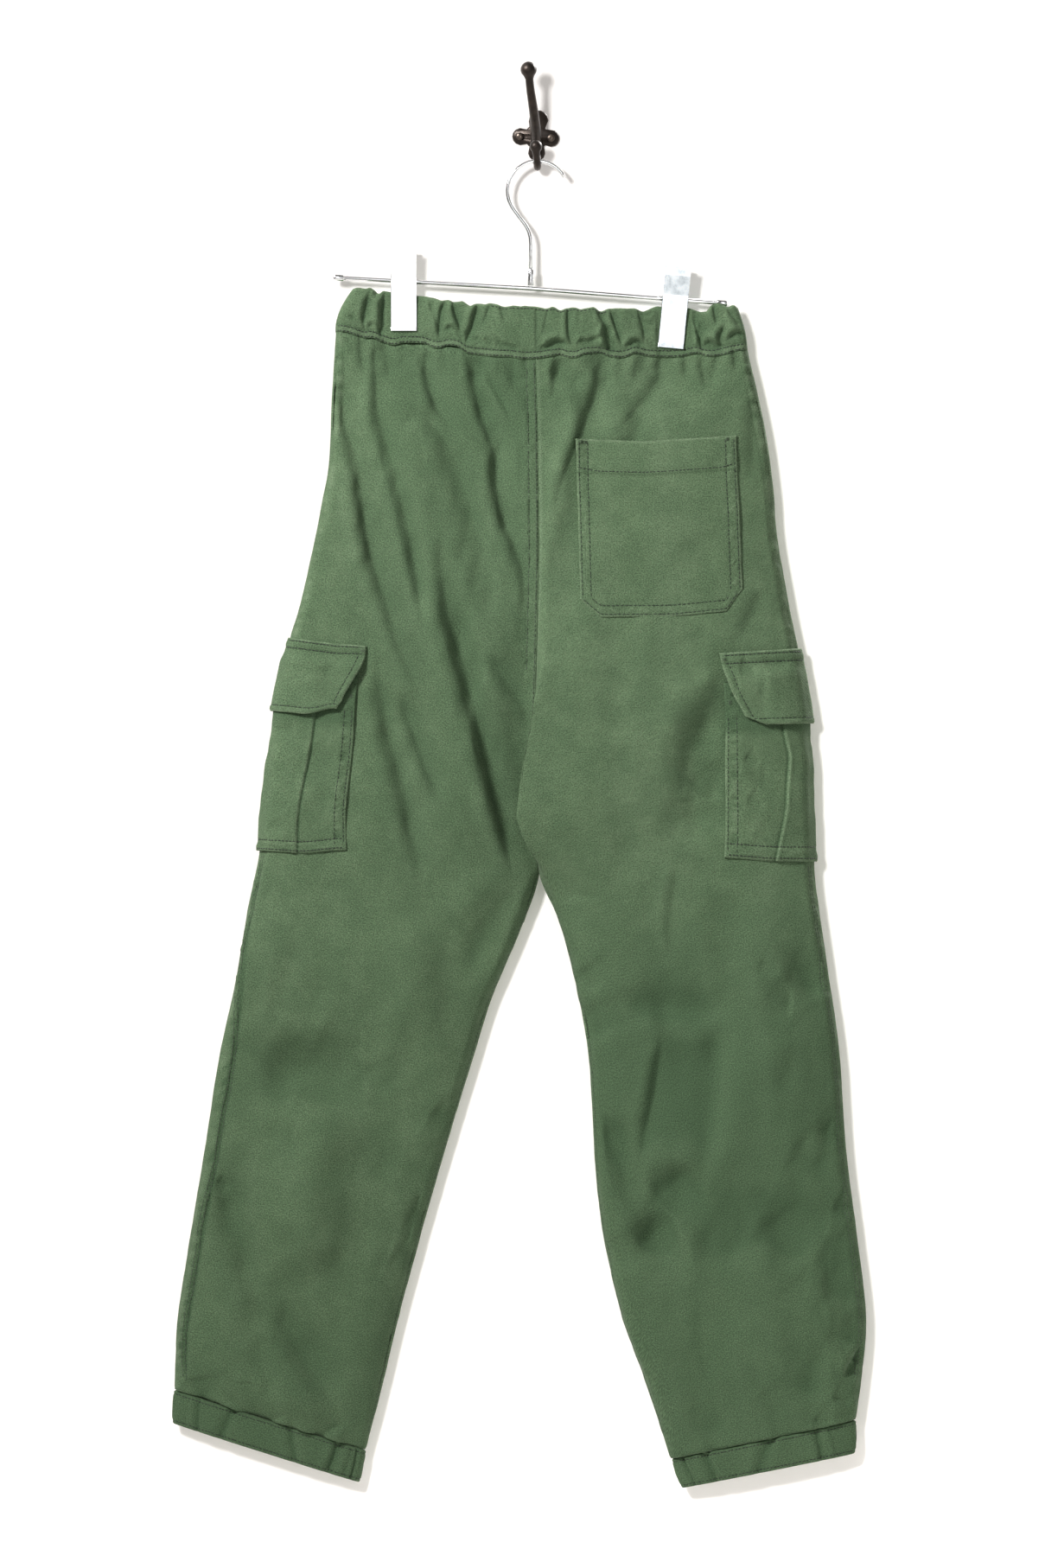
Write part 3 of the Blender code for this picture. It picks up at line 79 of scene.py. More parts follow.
def softNoise(x, y, size, seed):
    # smooth noise from -1 to 1 over a plane, with lumps of about that size
    lattice = np.random.default_rng(seed).uniform(-1, 1, (61, 61))
    u, v = np.asarray(x) / size + 200.0, np.asarray(y) / size + 200.0
    i, j = np.floor(u).astype(int), np.floor(v).astype(int)
    a, b = ease(u - i), ease(v - j)
    i, j = i % 60, j % 60
    low = lattice[i, j] * (1 - a) + lattice[i + 1, j] * a
    high = lattice[i, j + 1] * (1 - a) + lattice[i + 1, j + 1] * a
    return low * (1 - b) + high * b


def lumps(x, y, rows):
    # uneven cloth: amount, size and seed of each kind of lump
    return sum(amount * softNoise(x, y, size, seed) for amount, size, seed in rows)


def lines(away, rows):
    # lines that run beside an edge: distance, amount and half width of each
    return sum(amount * bell(away - place, width) for place, amount, width in rows)


def readTable(pairs, x):
    places, values = zip(*pairs)
    return np.interp(x, places, values)


def nearLine(x, drop, points, reach, samples=6):
    # for points within reach of a smooth line: which they are, how far, on which side, where along
    line = alongCurve(points, np.linspace(0, 1, samples * (len(points) - 1) + 1))
    low, high = line.min(0) - reach, line.max(0) + reach
    near = (x > low[0]) & (x < high[0]) & (drop > low[1]) & (drop < high[1])
    px, pd = x[near], drop[near]
    best = np.full(px.shape, 1e9)
    side = np.zeros(px.shape)
    along = np.zeros(px.shape)
    lengths = np.hypot(*np.diff(line, axis=0).T)
    start = np.concatenate(([0.0], np.cumsum(lengths)))
    for n, length in enumerate(lengths):
        step = (line[n + 1] - line[n]) / length
        away = px - line[n, 0], pd - line[n, 1]
        t = np.clip(away[0] * step[0] + away[1] * step[1], 0, length)
        gap = np.hypot(away[0] - t * step[0], away[1] - t * step[1])
        closer = gap < best
        best = np.where(closer, gap, best)
        side = np.where(closer, np.sign(step[0] * away[1] - step[1] * away[0]), side)
        along = np.where(closer, start[n] + t, along)
    return near, best, side, along, start[-1]


fold = dict(fadeIn=0.26, fadeOut=0.36, crest=1.4, crestAt=2.3, crestWidth=1.5, usual=4.0)


def creaseRelief(x, drop, creases, deepen=1.0, spread=1.0):
    # folds laid over to one side: a crest, a steep wall, a trough, and a long way back up
    relief = np.zeros_like(x)
    for width, depth, ridge, points in creases:
        near, gap, side, along, length = nearLine(x, drop, points, 5.0 * width * spread)
        share = along / length
        fade = ease(share / fold["fadeIn"]) * ease((1 - share) / fold["fadeOut"])
        wide = width * spread * (0.5 + 0.6 * fade)
        off = -side * gap / wide
        steep = 0.85 + 0.10 * max(width - fold["usual"], 0.0)
        trough = np.exp(-(np.abs(off / np.where(off < 0, steep, 2.3)) ** np.where(off < 0, 1.8, 1.35)))
        crest = fold["crest"] * ridge * bell(off + fold["crestAt"], fold["crestWidth"])
        relief[near] += deepen * depth * (width / fold["usual"]) ** 0.6 * fade * (crest - trough)
    return relief


def gridNormals(points):
    normal = np.cross(np.gradient(points, axis=1), np.gradient(points, axis=0))
    return normal / (np.linalg.norm(normal, axis=2, keepdims=True) + 1e-9)


def outwardNormals(points, side):
    normal = gridNormals(points)
    return normal if normal[..., 1].mean() * side > 0 else -normal


def normalsFrom(points, middle, axes=(1, 1, 1)):
    normal = gridNormals(points)
    return normal if ((points - middle) * normal * axes).sum() >= 0 else -normal


def arcAcross(points):
    steps = np.linalg.norm(np.diff(points, axis=1), axis=2)
    return np.concatenate((np.zeros((len(points), 1)), np.cumsum(steps, axis=1)), axis=1)


def arcDown(points):
    return arcAcross(points.transpose(1, 0, 2)).T


# worn marks real wear on edges and seams; the second mark is painted shade, and darker sewn rows
def toneMarks(worn, shadeAndSeams):
    return dict(worn=np.clip(worn, 0, 1), shadeAndSeams=np.clip(shadeAndSeams, 0, 1))


def turnIn(points, weave, marks, normals, amount):
    # a sheet's edges fold in, so no slit shows between two pieces
    def pad(values):
        return np.pad(values, ((1, 1), (1, 1)) + ((0, 0),) * (values.ndim - 2), mode="edge")
    folded, inward = pad(points), -pad(normals)
    rim = np.ones(folded.shape[:2], bool)
    rim[1:-1, 1:-1] = False
    folded[rim] += inward[rim] * amount
    return folded, pad(weave), {label: pad(values) for label, values in marks.items()}


def toMetres(points):
    return np.asarray(points, float) * mm


def addPiece(name, data):
    piece = bpy.data.objects.new(name, data)
    scene.collection.objects.link(piece)
    return piece


def gridMesh(name, points, weave, marks, middle=(0.0, midY, 0.0), axes=(0, 1, 0)):
    # a sheet of cloth: a plain grid whose points take their places, rows down and columns across
    rows, columns = points.shape[:2]
    sheet = bmesh.new()
    bmesh.ops.create_grid(sheet, x_segments=columns - 1, y_segments=rows - 1, size=0.5)
    data = bpy.data.meshes.new(name)
    sheet.to_mesh(data)
    sheet.free()
    flat = np.empty(len(data.vertices) * 3)
    data.vertices.foreach_get("co", flat)
    flat = flat.reshape(-1, 3)
    i = np.rint((flat[:, 0] + 0.5) * (columns - 1)).astype(int)
    j = np.rint((0.5 - flat[:, 1]) * (rows - 1)).astype(int)
    data.vertices.foreach_set("co", toMetres(points[j, i]).ravel())
    corner = np.empty(len(data.loops), int)
    data.loops.foreach_get("vertex_index", corner)
    layer = data.uv_layers.new(name="weave")
    layer.data.foreach_set("uv", toMetres(weave[j, i])[corner].ravel())
    for label, values in marks.items():
        attribute = data.attributes.new(label, "FLOAT", "POINT")
        attribute.data.foreach_set("value", values[j, i].astype(np.float32))
    data.update()
    normals, centres = np.empty(len(data.polygons) * 3), np.empty(len(data.polygons) * 3)
    data.polygons.foreach_get("normal", normals)
    data.polygons.foreach_get("center", centres)
    outward = (centres.reshape(-1, 3) / mm - middle) * axes
    if (outward * normals.reshape(-1, 3)).sum() < 0:
        data.flip_normals()
    data.shade_smooth()
    return addPiece(name, data)


def finishPiece(piece, nodes, slotName, material):
    piece.data.materials.clear()
    piece.data.materials.append(material)
    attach(piece, "root")
    if nodes:
        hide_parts(*nodes)


def finishCloth(piece, node, flat, held, rest, **cut):
    finishPiece(piece, [node], "olive_twill", cloth)


class Finish:
    # a material, and the few kinds of node that its tones are made of
    def __init__(self, name):
        self.material = bpy.data.materials.new(name)
        self.material.use_nodes = True
        self.nodes = self.material.node_tree.nodes
        self.shader = self.nodes["Principled BSDF"]

    def feed(self, socket, value):
        if isinstance(value, bpy.types.NodeSocket):
            self.material.node_tree.links.new(value, socket)
        elif socket.type == "RGBA":
            socket.default_value = (*value, 1)
        else:
            socket.default_value = value

    def look(self, **values):
        # what the shader is fed, by its sockets' names without their spaces
        for socket in self.shader.inputs:
            if socket.name.replace(" ", "") in values:
                self.feed(socket, values[socket.name.replace(" ", "")])

    def node(self, kind, inputs=(), output=0, **settings):
        node = self.nodes.new("ShaderNode" + kind)
        for label, value in settings.items():
            setattr(node, label, value)
        for socket, value in dict(inputs).items():
            self.feed(node.inputs[socket], value)
        return node.outputs[output]

    def place(self):
        return self.node("TexCoord", output="Object")

    def noise(self, vector, scale, detail=3.0, rough=0.55, stretch=None):
        if stretch:
            vector = self.node("Mapping", dict(Scale=stretch, Vector=vector))
        return self.node("TexNoise", dict(Scale=scale, Detail=detail, Roughness=rough, Vector=vector))

    def span(self, value, low, high, outLow=0.0, outHigh=1.0):
        limits = {"From Min": low, "From Max": high, "To Min": outLow, "To Max": outHigh}
        return self.node("MapRange", {"Value": value, **limits})

    def mix(self, share, one, two, blend="MIX"):
        return self.node("Mix", {0: share, 6: one, 7: two}, 2, data_type="RGBA", blend_type=blend)

    def math(self, operation, one, two):
        return self.node("Math", {0: one, 1: two}, operation=operation)

    def bump(self, height, strength, distance):
        return self.node("Bump", dict(Strength=strength, Distance=distance * mm, Height=height))


# ---- camera, light and surroundings

view = dict(centreX=-11.55, centreY=-34.0, centreZ=-526.4, height=1269.8, distance=8000.0, sensor=36.0)


def addCamera():
    camera = addPiece("camera", bpy.data.cameras.new("camera"))
    camera.location = toMetres((view["centreX"], view["centreY"] - view["distance"], view["centreZ"]))
    camera.rotation_euler = (math.radians(90), 0, 0)
    camera.data.sensor_fit = "VERTICAL"
    camera.data.sensor_height = view["sensor"]
    camera.data.lens = view["sensor"] * view["distance"] / view["height"]
    camera.data.clip_start = 0.1
    camera.data.clip_end = 60.0
    scene.camera = camera


lamps = dict(
    key=dict(place=(-2.0, -2.0, 1.5), size=(0.8, 0.8), power=20.0, spread=56.0, target=(0.24, 0.0, -0.32)),
    fill=dict(place=(1.6, -4.6, 0.8), size=(3.0, 3.6), power=18),
    shine=dict(place=(0.0, -5.1, 0.9), size=(1.6, 5.2), power=26),
    side=dict(place=(2.4, -0.9, -0.4), size=(0.8, 1.6), power=5.5),
    low=dict(place=(0.0, -2.6, -1.15), size=(1.6, 2.4), power=9, target=(0.0, 0.0, -0.1)),
    wash=dict(place=(-1.0, -4.0, 0.45), size=(0.4, 0.4), power=140),
    behind=dict(place=(1.5, 1.9, 1.2), size=(0.9, 0.9), power=120),
)
wallLamps = dict(key="EXCLUDE", side="EXCLUDE", wash="INCLUDE")
studio = dict(
    world=(1.0, 0.97, 0.94), worldStrength=0.12, wall=(0.93, 0.90, 0.875), wallHalf=2.0, wallBack=0.0006,
    glow=(1.0, 0.95, 0.91), glowStrength=0.13, floor=(0.80, 0.79, 0.77), floorHalf=5.0, floorZ=-1300.0,
    roughness=0.9,
)


def addLight(name, place, size, power, spread=180.0, target=(0.0, 0.0, -0.62)):
    lamp = bpy.data.lights.new(name, "AREA")
    lamp.shape = "RECTANGLE"
    lamp.size, lamp.size_y = size
    lamp.energy = power
    lamp.spread = math.radians(spread)
    light = addPiece(name, lamp)
    light.location = place
    light.rotation_euler = (Vector(target) - light.location).to_track_quat("-Z", "Y").to_euler()
    return light


def floorMaterial():
    finish = Finish("floor")
    finish.look(BaseColor=studio["floor"], Roughness=studio["roughness"])
    return finish.material


def wallMaterial():
    # the wall glows a little, and is left out of what is seen or lit through its back
    finish = Finish("wall")
    finish.look(BaseColor=studio["wall"], Roughness=studio["roughness"],
                EmissionColor=studio["glow"], EmissionStrength=studio["glowStrength"])
    clear = finish.node("BsdfTransparent")
    back = finish.node("NewGeometry", output="Backfacing")
    shadow = finish.node("LightPath", output="Is Shadow Ray")
    hidden = finish.math("MAXIMUM", back, shadow)
    seen = finish.node("MixShader", {0: hidden, 1: finish.shader.outputs[0], 2: clear})
    finish.feed(finish.nodes["Material Output"].inputs["Surface"], seen)
    return finish.material


def stagePlane(name, size, place, turn, material):
    plane = bmesh.new()
    bmesh.ops.create_grid(plane, x_segments=1, y_segments=1, size=size)
    plane.transform(Matrix.Translation(place) @ turn)
    data = bpy.data.meshes.new(name)
    plane.to_mesh(data)
    plane.free()
    data.materials.append(material)
    piece = addPiece(name, data)
    return piece


def addStudio():
    lights = {name: addLight(name, **lamp) for name, lamp in lamps.items()}
    lights["low"].visible_diffuse = False      # seen only in the metal
    world = bpy.data.worlds.new("studio")
    world.use_nodes = True
    world.node_tree.nodes["Background"].inputs["Color"].default_value = (*studio["world"], 1)
    world.node_tree.nodes["Background"].inputs["Strength"].default_value = studio["worldStrength"]
    scene.world = world
    scene.view_settings.view_transform = "Standard"
    floorZ = studio["floorZ"] * mm
    wallMiddle = Vector((0, studio["wallBack"], floorZ + studio["wallHalf"]))
    wall = stagePlane("wall", studio["wallHalf"], wallMiddle,
                      Matrix.Rotation(math.radians(90), 4, "X"), wallMaterial())
    for name, state in wallLamps.items():
        # the wall has a lamp of its own, so that its shadows stay close beside the cloth
        group = bpy.data.collections.new(name + " wall")
        group.objects.link(wall)
        group.collection_objects[0].light_linking.link_state = state
        lights[name].light_linking.receiver_collection = group
    stagePlane("floor", studio["floorHalf"], Vector((0, 0, floorZ)), Matrix.Identity(4), floorMaterial())


addCamera()
addStudio()
print("camera and studio")


# ---- cloth and thread

twill = dict(
    deep=(0.046, 0.082, 0.040), main=(0.094, 0.147, 0.077), worn=(0.150, 0.206, 0.124),
    brown=(0.118, 0.124, 0.076), shade=0.88, ribs=950.0, lean=52.0, flecks=(0.28, 0.72, 0.40, 1.60),
    bump=(0.5, 0.16), roughness=0.88, specular=0.22, sheen=(0.08, 0.45, (0.62, 0.72, 0.55)),
    noises=dict(      # where it is read, scale, detail, roughness and stretch
        yarnDown=("weave", 620.0, 2.0, 0.6, (1.0, 0.22, 1.0)),
        yarnAcross=("weave", 620.0, 2.0, 0.6, (0.22, 1.0, 1.0)),
        lumps=("weave", 240.0, 3.0, 0.6),
        flecks=("weave", 980.0, 2.0, 0.65),
        clouds=("place", 9.0, 4.0, 0.55),
        streaks=("place", 5.0, 3.0, 0.5, (5.0, 5.0, 0.8)),
        rust=("weave", 560.0, 2.0, 0.6),
        patches=("place", 45.0, 3.0, 0.6),
    ),
    tones=(      # what is read, the span of it that counts, and how much of which colour that mixes in
        ("streaks", (0.42, 0.72, 0.0, 0.25), "worn"),
        ("yarnDown", (0.55, 0.80, 0.0, 0.35), "deep"),
        ("yarnAcross", (0.55, 0.80, 0.0, 0.35), "worn"),
        ("ribs", (0.0, 0.6, 0.12, 0.0), "deep"),
        ("rust", (0.55, 0.75, 0.0, 0.45), "brown"),
        ("lumps", (0.3, 0.7, 0.34, 0.0), "deep"),
        ("patches", (0.38, 0.64, 0.42, 0.0), "deep"),
    ),
)


def twillMaterial():
    finish = Finish("olive twill")
    read = dict(weave=finish.node("UVMap", uv_map="weave"), place=finish.place())
    # diagonal ribs of the weave, broken up by uneven yarn
    lean = finish.node("Mapping", dict(Rotation=(0, 0, math.radians(twill["lean"])), Vector=read["weave"]))
    read["ribs"] = finish.node(
        "TexWave", {"Scale": twill["ribs"] / (2 * math.pi), "Distortion": 1.1, "Detail": 2.0,
                    "Detail Scale": 2.0, "Vector": lean}, "Fac", wave_type="BANDS", bands_direction="X")
    for name, (vector, *noise) in twill["noises"].items():
        read[name] = finish.noise(read[vector], *noise)
    shaded = tuple(c * twill["shade"] for c in twill["main"])
    tone = finish.mix(finish.span(read["clouds"], 0.3, 0.7), twill["main"], shaded)
    for name, span, colour in twill["tones"]:
        tone = finish.mix(finish.span(read[name], *span), tone, twill[colour])
    # painted shade: the second mark darkens towards the deep colour in creases, folds, down the legs and
    # under the flaps, and along sewn rows; the worn mark is real wear
    for mark, colour in (("worn", "worn"), ("shadeAndSeams", "deep")):
        tone = finish.mix(finish.node("Attribute", output="Fac", attribute_name=mark), tone, twill[colour])
    fine = finish.span(read["flecks"], *twill["flecks"])
    grey = finish.node("CombineColor", {n: fine for n in range(3)})
    height = finish.math("ADD", read["ribs"], finish.math("MULTIPLY", read["yarnAcross"], 1.6))
    height = finish.math("ADD", height, finish.math("MULTIPLY", read["lumps"], 1.2))
    sheen, sheenRoughness, sheenTint = twill["sheen"]
    finish.look(BaseColor=finish.mix(1.0, tone, grey, "MULTIPLY"), Normal=finish.bump(height, *twill["bump"]),
                Roughness=twill["roughness"], SpecularIORLevel=twill["specular"],
                SheenWeight=sheen, SheenRoughness=sheenRoughness, SheenTint=sheenTint)
    return finish.material


def threadMaterial(name, dark, light):
    finish = Finish(name)
    strands = finish.noise(finish.place(), 900.0, 2.0, 0.6)
    finish.look(BaseColor=finish.mix(finish.span(strands, 0.3, 0.7), dark, light), Roughness=0.7)
    return finish.material


cloth = twillMaterial()
thread = threadMaterial("dark thread", (0.006, 0.013, 0.006), (0.018, 0.028, 0.013))
softThread = threadMaterial("matching thread", (0.022, 0.040, 0.019), (0.046, 0.072, 0.037))
print("materials")


# ---- the panels of the legs

panelNodes = ("panel_back_left", "panel_back_right", "panel_front_left", "panel_front_right")
panel = dict(
    back=(500, 132), front=(340, 92),      # rows, columns
    rim=1.35, turnedIn=2.6, underBand=3.5, riseEnd=440.0,
    # the leg tone below is painted shade darkening down the legs, more on the right leg
    creases=(1.25, 1.1), legFolds=0.45, legTone=0.38, legShare=(1.15, 1.7),
    rolledSeam=((440, 6), (600, 16), (800, 15), (930, 12)),
)

creases = {      # half width, depth and ridge of each crease, then the line it follows: x and drop
    "panel_back_left": (
        (3.6, 2.3, 0.7, ((-162, 27), (-160, 60), (-155, 95), (-146, 123), (-141, 158), (-134, 200),
            (-123, 235), (-114, 267), (-102, 298), (-92, 323), (-85, 340))),
        (3.4, 2.8, 0.8, ((-132, 27), (-130, 60), (-128, 88), (-118, 123), (-111, 151), (-103, 186),
            (-97, 221), (-92, 253), (-85, 284))),
        (2.6, 2.6, 0.5, ((-90, 24), (-88, 60), (-79, 85), (-65, 106))),
        (5, 1.8, 0.4, ((-111, 116), (-108, 100), (-99, 90), (-85, 94), (-71, 113), (-60, 144),
            (-51, 172), (-43, 200), (-34, 228))),
        (2.8, 2.3, 0.6, ((-62, 17), (-56, 39), (-51, 60), (-45, 85), (-38, 106), (-34, 123))),
        (2.2, 2.2, 0.4, ((-43, 50), (-34, 67), (-26, 81), (-20, 95))),
        (3, 1.9, 0.7, ((-22, 94), (-29, 111), (-33, 130), (-31, 151), (-27, 172), (-18, 193), (-12, 211),
            (-10, 228), (-11, 246), (-13, 263))),
        (4.8, 2.3, 0.8, ((-78, 179), (-76, 214), (-72, 242), (-65, 270), (-57, 298), (-50, 326),
            (-43, 354), (-36, 386), (-29, 417), (-23, 442), (-19, 463))),
        (4.2, 1.9, 0.4, ((-51, 321), (-43, 356), (-35, 386), (-28, 417), (-22, 442), (-18, 468))),
        (5, 2.2, 0.4, ((-43, 286), (-32, 293), (-20, 309), (-11, 323), (-6, 335))),
        (4, 2.0, 0.7, ((-130, 270), (-127, 305), (-120, 340), (-113, 368), (-106, 396), (-102, 424),
            (-96, 452), (-93, 484))),
        (4, 2.4, 0.5, ((-111, 309), (-104, 333), (-96, 354), (-89, 375), (-80, 393), (-69, 409))),
        (9, 1.6, 0.5, ((-10, 477), (-23, 482), (-34, 496), (-45, 521), (-51, 547))),
        (10, 0.96, 0.5, ((-71, 480), (-72, 515), (-71, 550), (-69, 585), (-65, 613))),
        (13.8, 0.96, 0.3, ((-219, 542), (-193, 549), (-155, 557))),
        (12.5, 1.9, 0.4, ((-227, 638), (-212, 630), (-193, 620), (-176, 631), (-158, 643), (-137, 648),
            (-118, 638))),
        (6, 0.99, 0.4, ((-138, 612), (-131, 627), (-122, 643))),
        (7.5, 0.87, 0.4, ((-198, 659), (-184, 689), (-170, 710), (-160, 727))),
        (13.8, 1.7, 0.6, ((-115, 650), (-132, 678), (-146, 706), (-150, 734), (-152, 760), (-156, 788))),
        (7.5, 1.7, 0.5, ((-257, 692), (-251, 721), (-241, 753), (-232, 781), (-226, 802), (-220, 827))),
        (3, 1.6, 0.4, ((-262, 708), (-254, 713), (-247, 710))),
        (10.5, 1.4, 0.4, ((-152, 764), (-174, 784), (-197, 791), (-222, 777))),
        (8.2, 1.7, 0.5, ((-206, 802), (-198, 829), (-186, 851), (-176, 869), (-165, 888), (-157, 911))),
        (6, 0.99, 0.4, ((-227, 830), (-222, 855), (-216, 872), (-225, 888))),
        (3, 2.4, 0.5, ((-255, 876), (-248, 885), (-236, 895), (-223, 901), (-209, 900), (-200, 892))),
        (3, 2.2, 0.5, ((-188, 913), (-177, 916), (-166, 909), (-153, 904))),
        (6.8, 1.1, 0.4, ((-278, 865), (-274, 878), (-264, 888))),
        (9, 0.87, 0.3, ((-106, 732), (-93, 738), (-85, 732))),
        (9, 0.87, 0.3, ((-116, 762), (-104, 769), (-93, 767))),
        (6, 0.87, 0.4, ((-85, 650), (-75, 659), (-68, 662))),
        (10.5, 0.74, 0.3, ((-261, 592), (-251, 627), (-258, 662))),
        (1.6, -0.7, 0, ((-216, 449), (-215, 480), (-214, 512), (-212, 540))),
        (6, 0.74, 0.4, ((-190, 442), (-181, 452), (-165, 455))),
    ),
    "panel_back_right": (
        (2.8, 1.7, 0.6, ((57, 27), (54, 46), (49, 67), (41, 90), (33, 111), (24, 134), (16, 158), (10, 186))),
        (3.6, 2, 0.4, ((8, 52), (20, 57), (33, 65), (41, 69))),
        (3.0, 1.1, 0.5, ((106, 50), (95, 66), (85, 80), (74, 93), (62, 102))),
        (6, 1.6, 0.3, ((89, 84), (82, 102), (72, 127))),
        (2.5, 1.8, 0.4, ((134, 27), (135, 50), (138, 71))),
        (4, 1, 0.3, ((173, 60), (176, 102), (173, 144))),
        (5, 1.4, 0.3, ((184, 228), (174, 253), (164, 272))),
        (9, 1.7, 0.4, ((153, 297), (144, 321), (136, 340), (126, 363), (118, 384), (111, 403))),
        (10, 1.7, 0.4, ((152, 360), (144, 386), (136, 410), (134, 435))),
        (4, 1.2, 0.4, ((122, 381), (134, 391), (149, 402))),
        (3, 0.8, 0.3, ((19, 476), (38, 477), (59, 478))),
        (10, 1.1, 0.4, ((173, 472), (162, 494), (158, 522), (158, 547))),
        (3, 1.2, 0.5, ((114, 447), (111, 473), (108, 501), (108, 529))),
        (7.5, 1.7, 0.4, ((66, 561), (90, 566), (115, 568), (139, 569), (160, 563))),
        (7.5, 1.5, 0.4, ((131, 717), (134, 690), (138, 662), (141, 634), (143, 610), (147, 585), (157, 564))),
        (3.2, 2, 0.4, ((102, 585), (98, 613), (94, 638), (89, 662), (85, 690), (83, 710))),
        (7.5, 1.9, 0.4, ((54, 651), (59, 669), (67, 690), (75, 711), (80, 729), (85, 741))),
        (9, 2.1, 0.4, ((130, 697), (117, 706), (106, 715), (97, 723), (88, 738))),
        (9, 2.1, 0.4, ((115, 739), (102, 746), (92, 756), (86, 771))),
        (10, 1.2, 0.4, ((125, 749), (150, 760), (172, 756), (190, 749))),
        (9, 1.5, 0.4, ((180, 738), (195, 755), (209, 764), (226, 772))),
        (7.5, 1.6, 0.4, ((195, 542), (211, 539), (226, 549), (239, 557))),
        (7.5, 1.1, 0.4, ((207, 540), (204, 557), (201, 577))),
        (6, 0.74, 0.3, ((178, 531), (188, 535), (198, 538))),
        (7.5, 0.99, 0.4, ((215, 598), (204, 622), (198, 645))),
        (6, 1.1, 0.4, ((230, 661), (239, 671), (247, 678))),
        (11.2, 0.96, 0.3, ((205, 680), (225, 693), (243, 697))),
        (6, 1.1, 0.4, ((240, 727), (250, 731), (258, 734))),
        (7.5, 1.1, 0.4, ((223, 769), (241, 778), (255, 790))),
        (7.5, 1.4, 0.4, ((227, 795), (247, 796), (267, 803))),
        (9, 1.6, 0.4, ((214, 889), (221, 872), (227, 854), (232, 841), (239, 832))),
        (6, 1.1, 0.3, ((232, 834), (250, 836), (265, 841))),
        (2.6, 2.6, 0.4, ((265, 841), (258, 852), (251, 862), (247, 869))),
        (3, 2.2, 0.4, ((237, 883), (247, 886), (255, 892))),
        (3, 1.8, 0.4, ((223, 899), (232, 904), (241, 900))),
        (6, 0.87, 0.4, ((186, 872), (192, 886), (202, 902))),
        (6, 0.56, 0.3, ((83, 802), (89, 823), (93, 846))),
        (6, 0.74, 0.3, ((131, 805), (136, 841), (139, 875))),
        (6, 1.4, 0.4, ((33, 536), (41, 546), (51, 557))),
        (10.5, 1.1, 0.3, ((38, 564), (46, 582), (52, 599))),
        (7.5, 0.99, 0.4, ((52, 760), (64, 776), (69, 788))),
        (6, 0.74, 0.4, ((125, 911), (141, 907), (160, 909))),
    ),
    "panel_front_left": (
        (6, 2.2, 0.5, ((-150, 40), (-144, 90), (-134, 140), (-122, 190), (-108, 232))),
        (5, 2.0, 0.5, ((-104, 40), (-98, 80), (-86, 124), (-76, 170), (-62, 206))),
        (4.5, 1.8, 0.5, ((-58, 40), (-52, 74), (-47, 110), (-44, 150))),
        (4, 1.5, 0.4, ((-30, 44), (-26, 80), (-22, 120), (-20, 170))),
        (6.5, 2.6, 0.5, ((-104, 290), (-84, 330), (-60, 372), (-36, 412), (-14, 446))),
        (6, 2.0, 0.4, ((-134, 320), (-116, 366), (-94, 404), (-72, 444), (-50, 478))),
        (5, 1.5, 0.4, ((-60, 250), (-44, 300), (-26, 350), (-10, 396))),
        (10, 2.2, 0.4, ((-216, 592), (-194, 612), (-168, 622), (-140, 616), (-110, 604))),
        (8, 1.8, 0.3, ((-244, 640), (-226, 660), (-204, 668))),
        (8, 2.0, 0.4, ((-243, 700), (-232, 738), (-222, 778), (-212, 816))),
        (8, 2.0, 0.4, ((-190, 764), (-176, 804), (-164, 844), (-156, 882))),
        (6, 1.5, 0.4, ((-262, 868), (-240, 888), (-218, 898))),
        (6, 1.4, 0.3, ((-128, 660), (-116, 700), (-112, 742))),
    ),
    "panel_front_right": (
        (6, 2.2, 0.5, ((152, 42), (150, 90), (142, 136), (134, 180), (122, 228))),
        (5, 2.0, 0.5, ((104, 42), (100, 84), (90, 124), (80, 168), (64, 206))),
        (4.5, 1.8, 0.5, ((58, 42), (54, 78), (50, 114), (42, 160), (38, 180))),
        (4, 1.5, 0.4, ((28, 46), (24, 84), (21, 124), (19, 176))),
        (6.5, 2.6, 0.5, ((110, 296), (88, 336), (62, 376), (38, 412), (14, 446))),
        (6, 2.0, 0.4, ((152, 322), (130, 366), (106, 402), (82, 440), (56, 474))),
        (5, 1.5, 0.4, ((66, 246), (48, 300), (30, 348), (14, 392))),
        (10, 2.2, 0.4, ((80, 584), (108, 600), (140, 606), (172, 600), (204, 584))),
        (8, 1.8, 0.3, ((210, 640), (190, 656), (168, 660))),
        (8, 2.0, 0.4, ((74, 684), (88, 722), (100, 758), (120, 794))),
        (8, 2.0, 0.4, ((238, 752), (220, 780), (204, 806), (184, 860))),
        (6, 1.5, 0.4, ((128, 880), (150, 898), (176, 906))),
        (6, 1.4, 0.3, ((222, 668), (232, 706), (236, 744))),
    ),
}

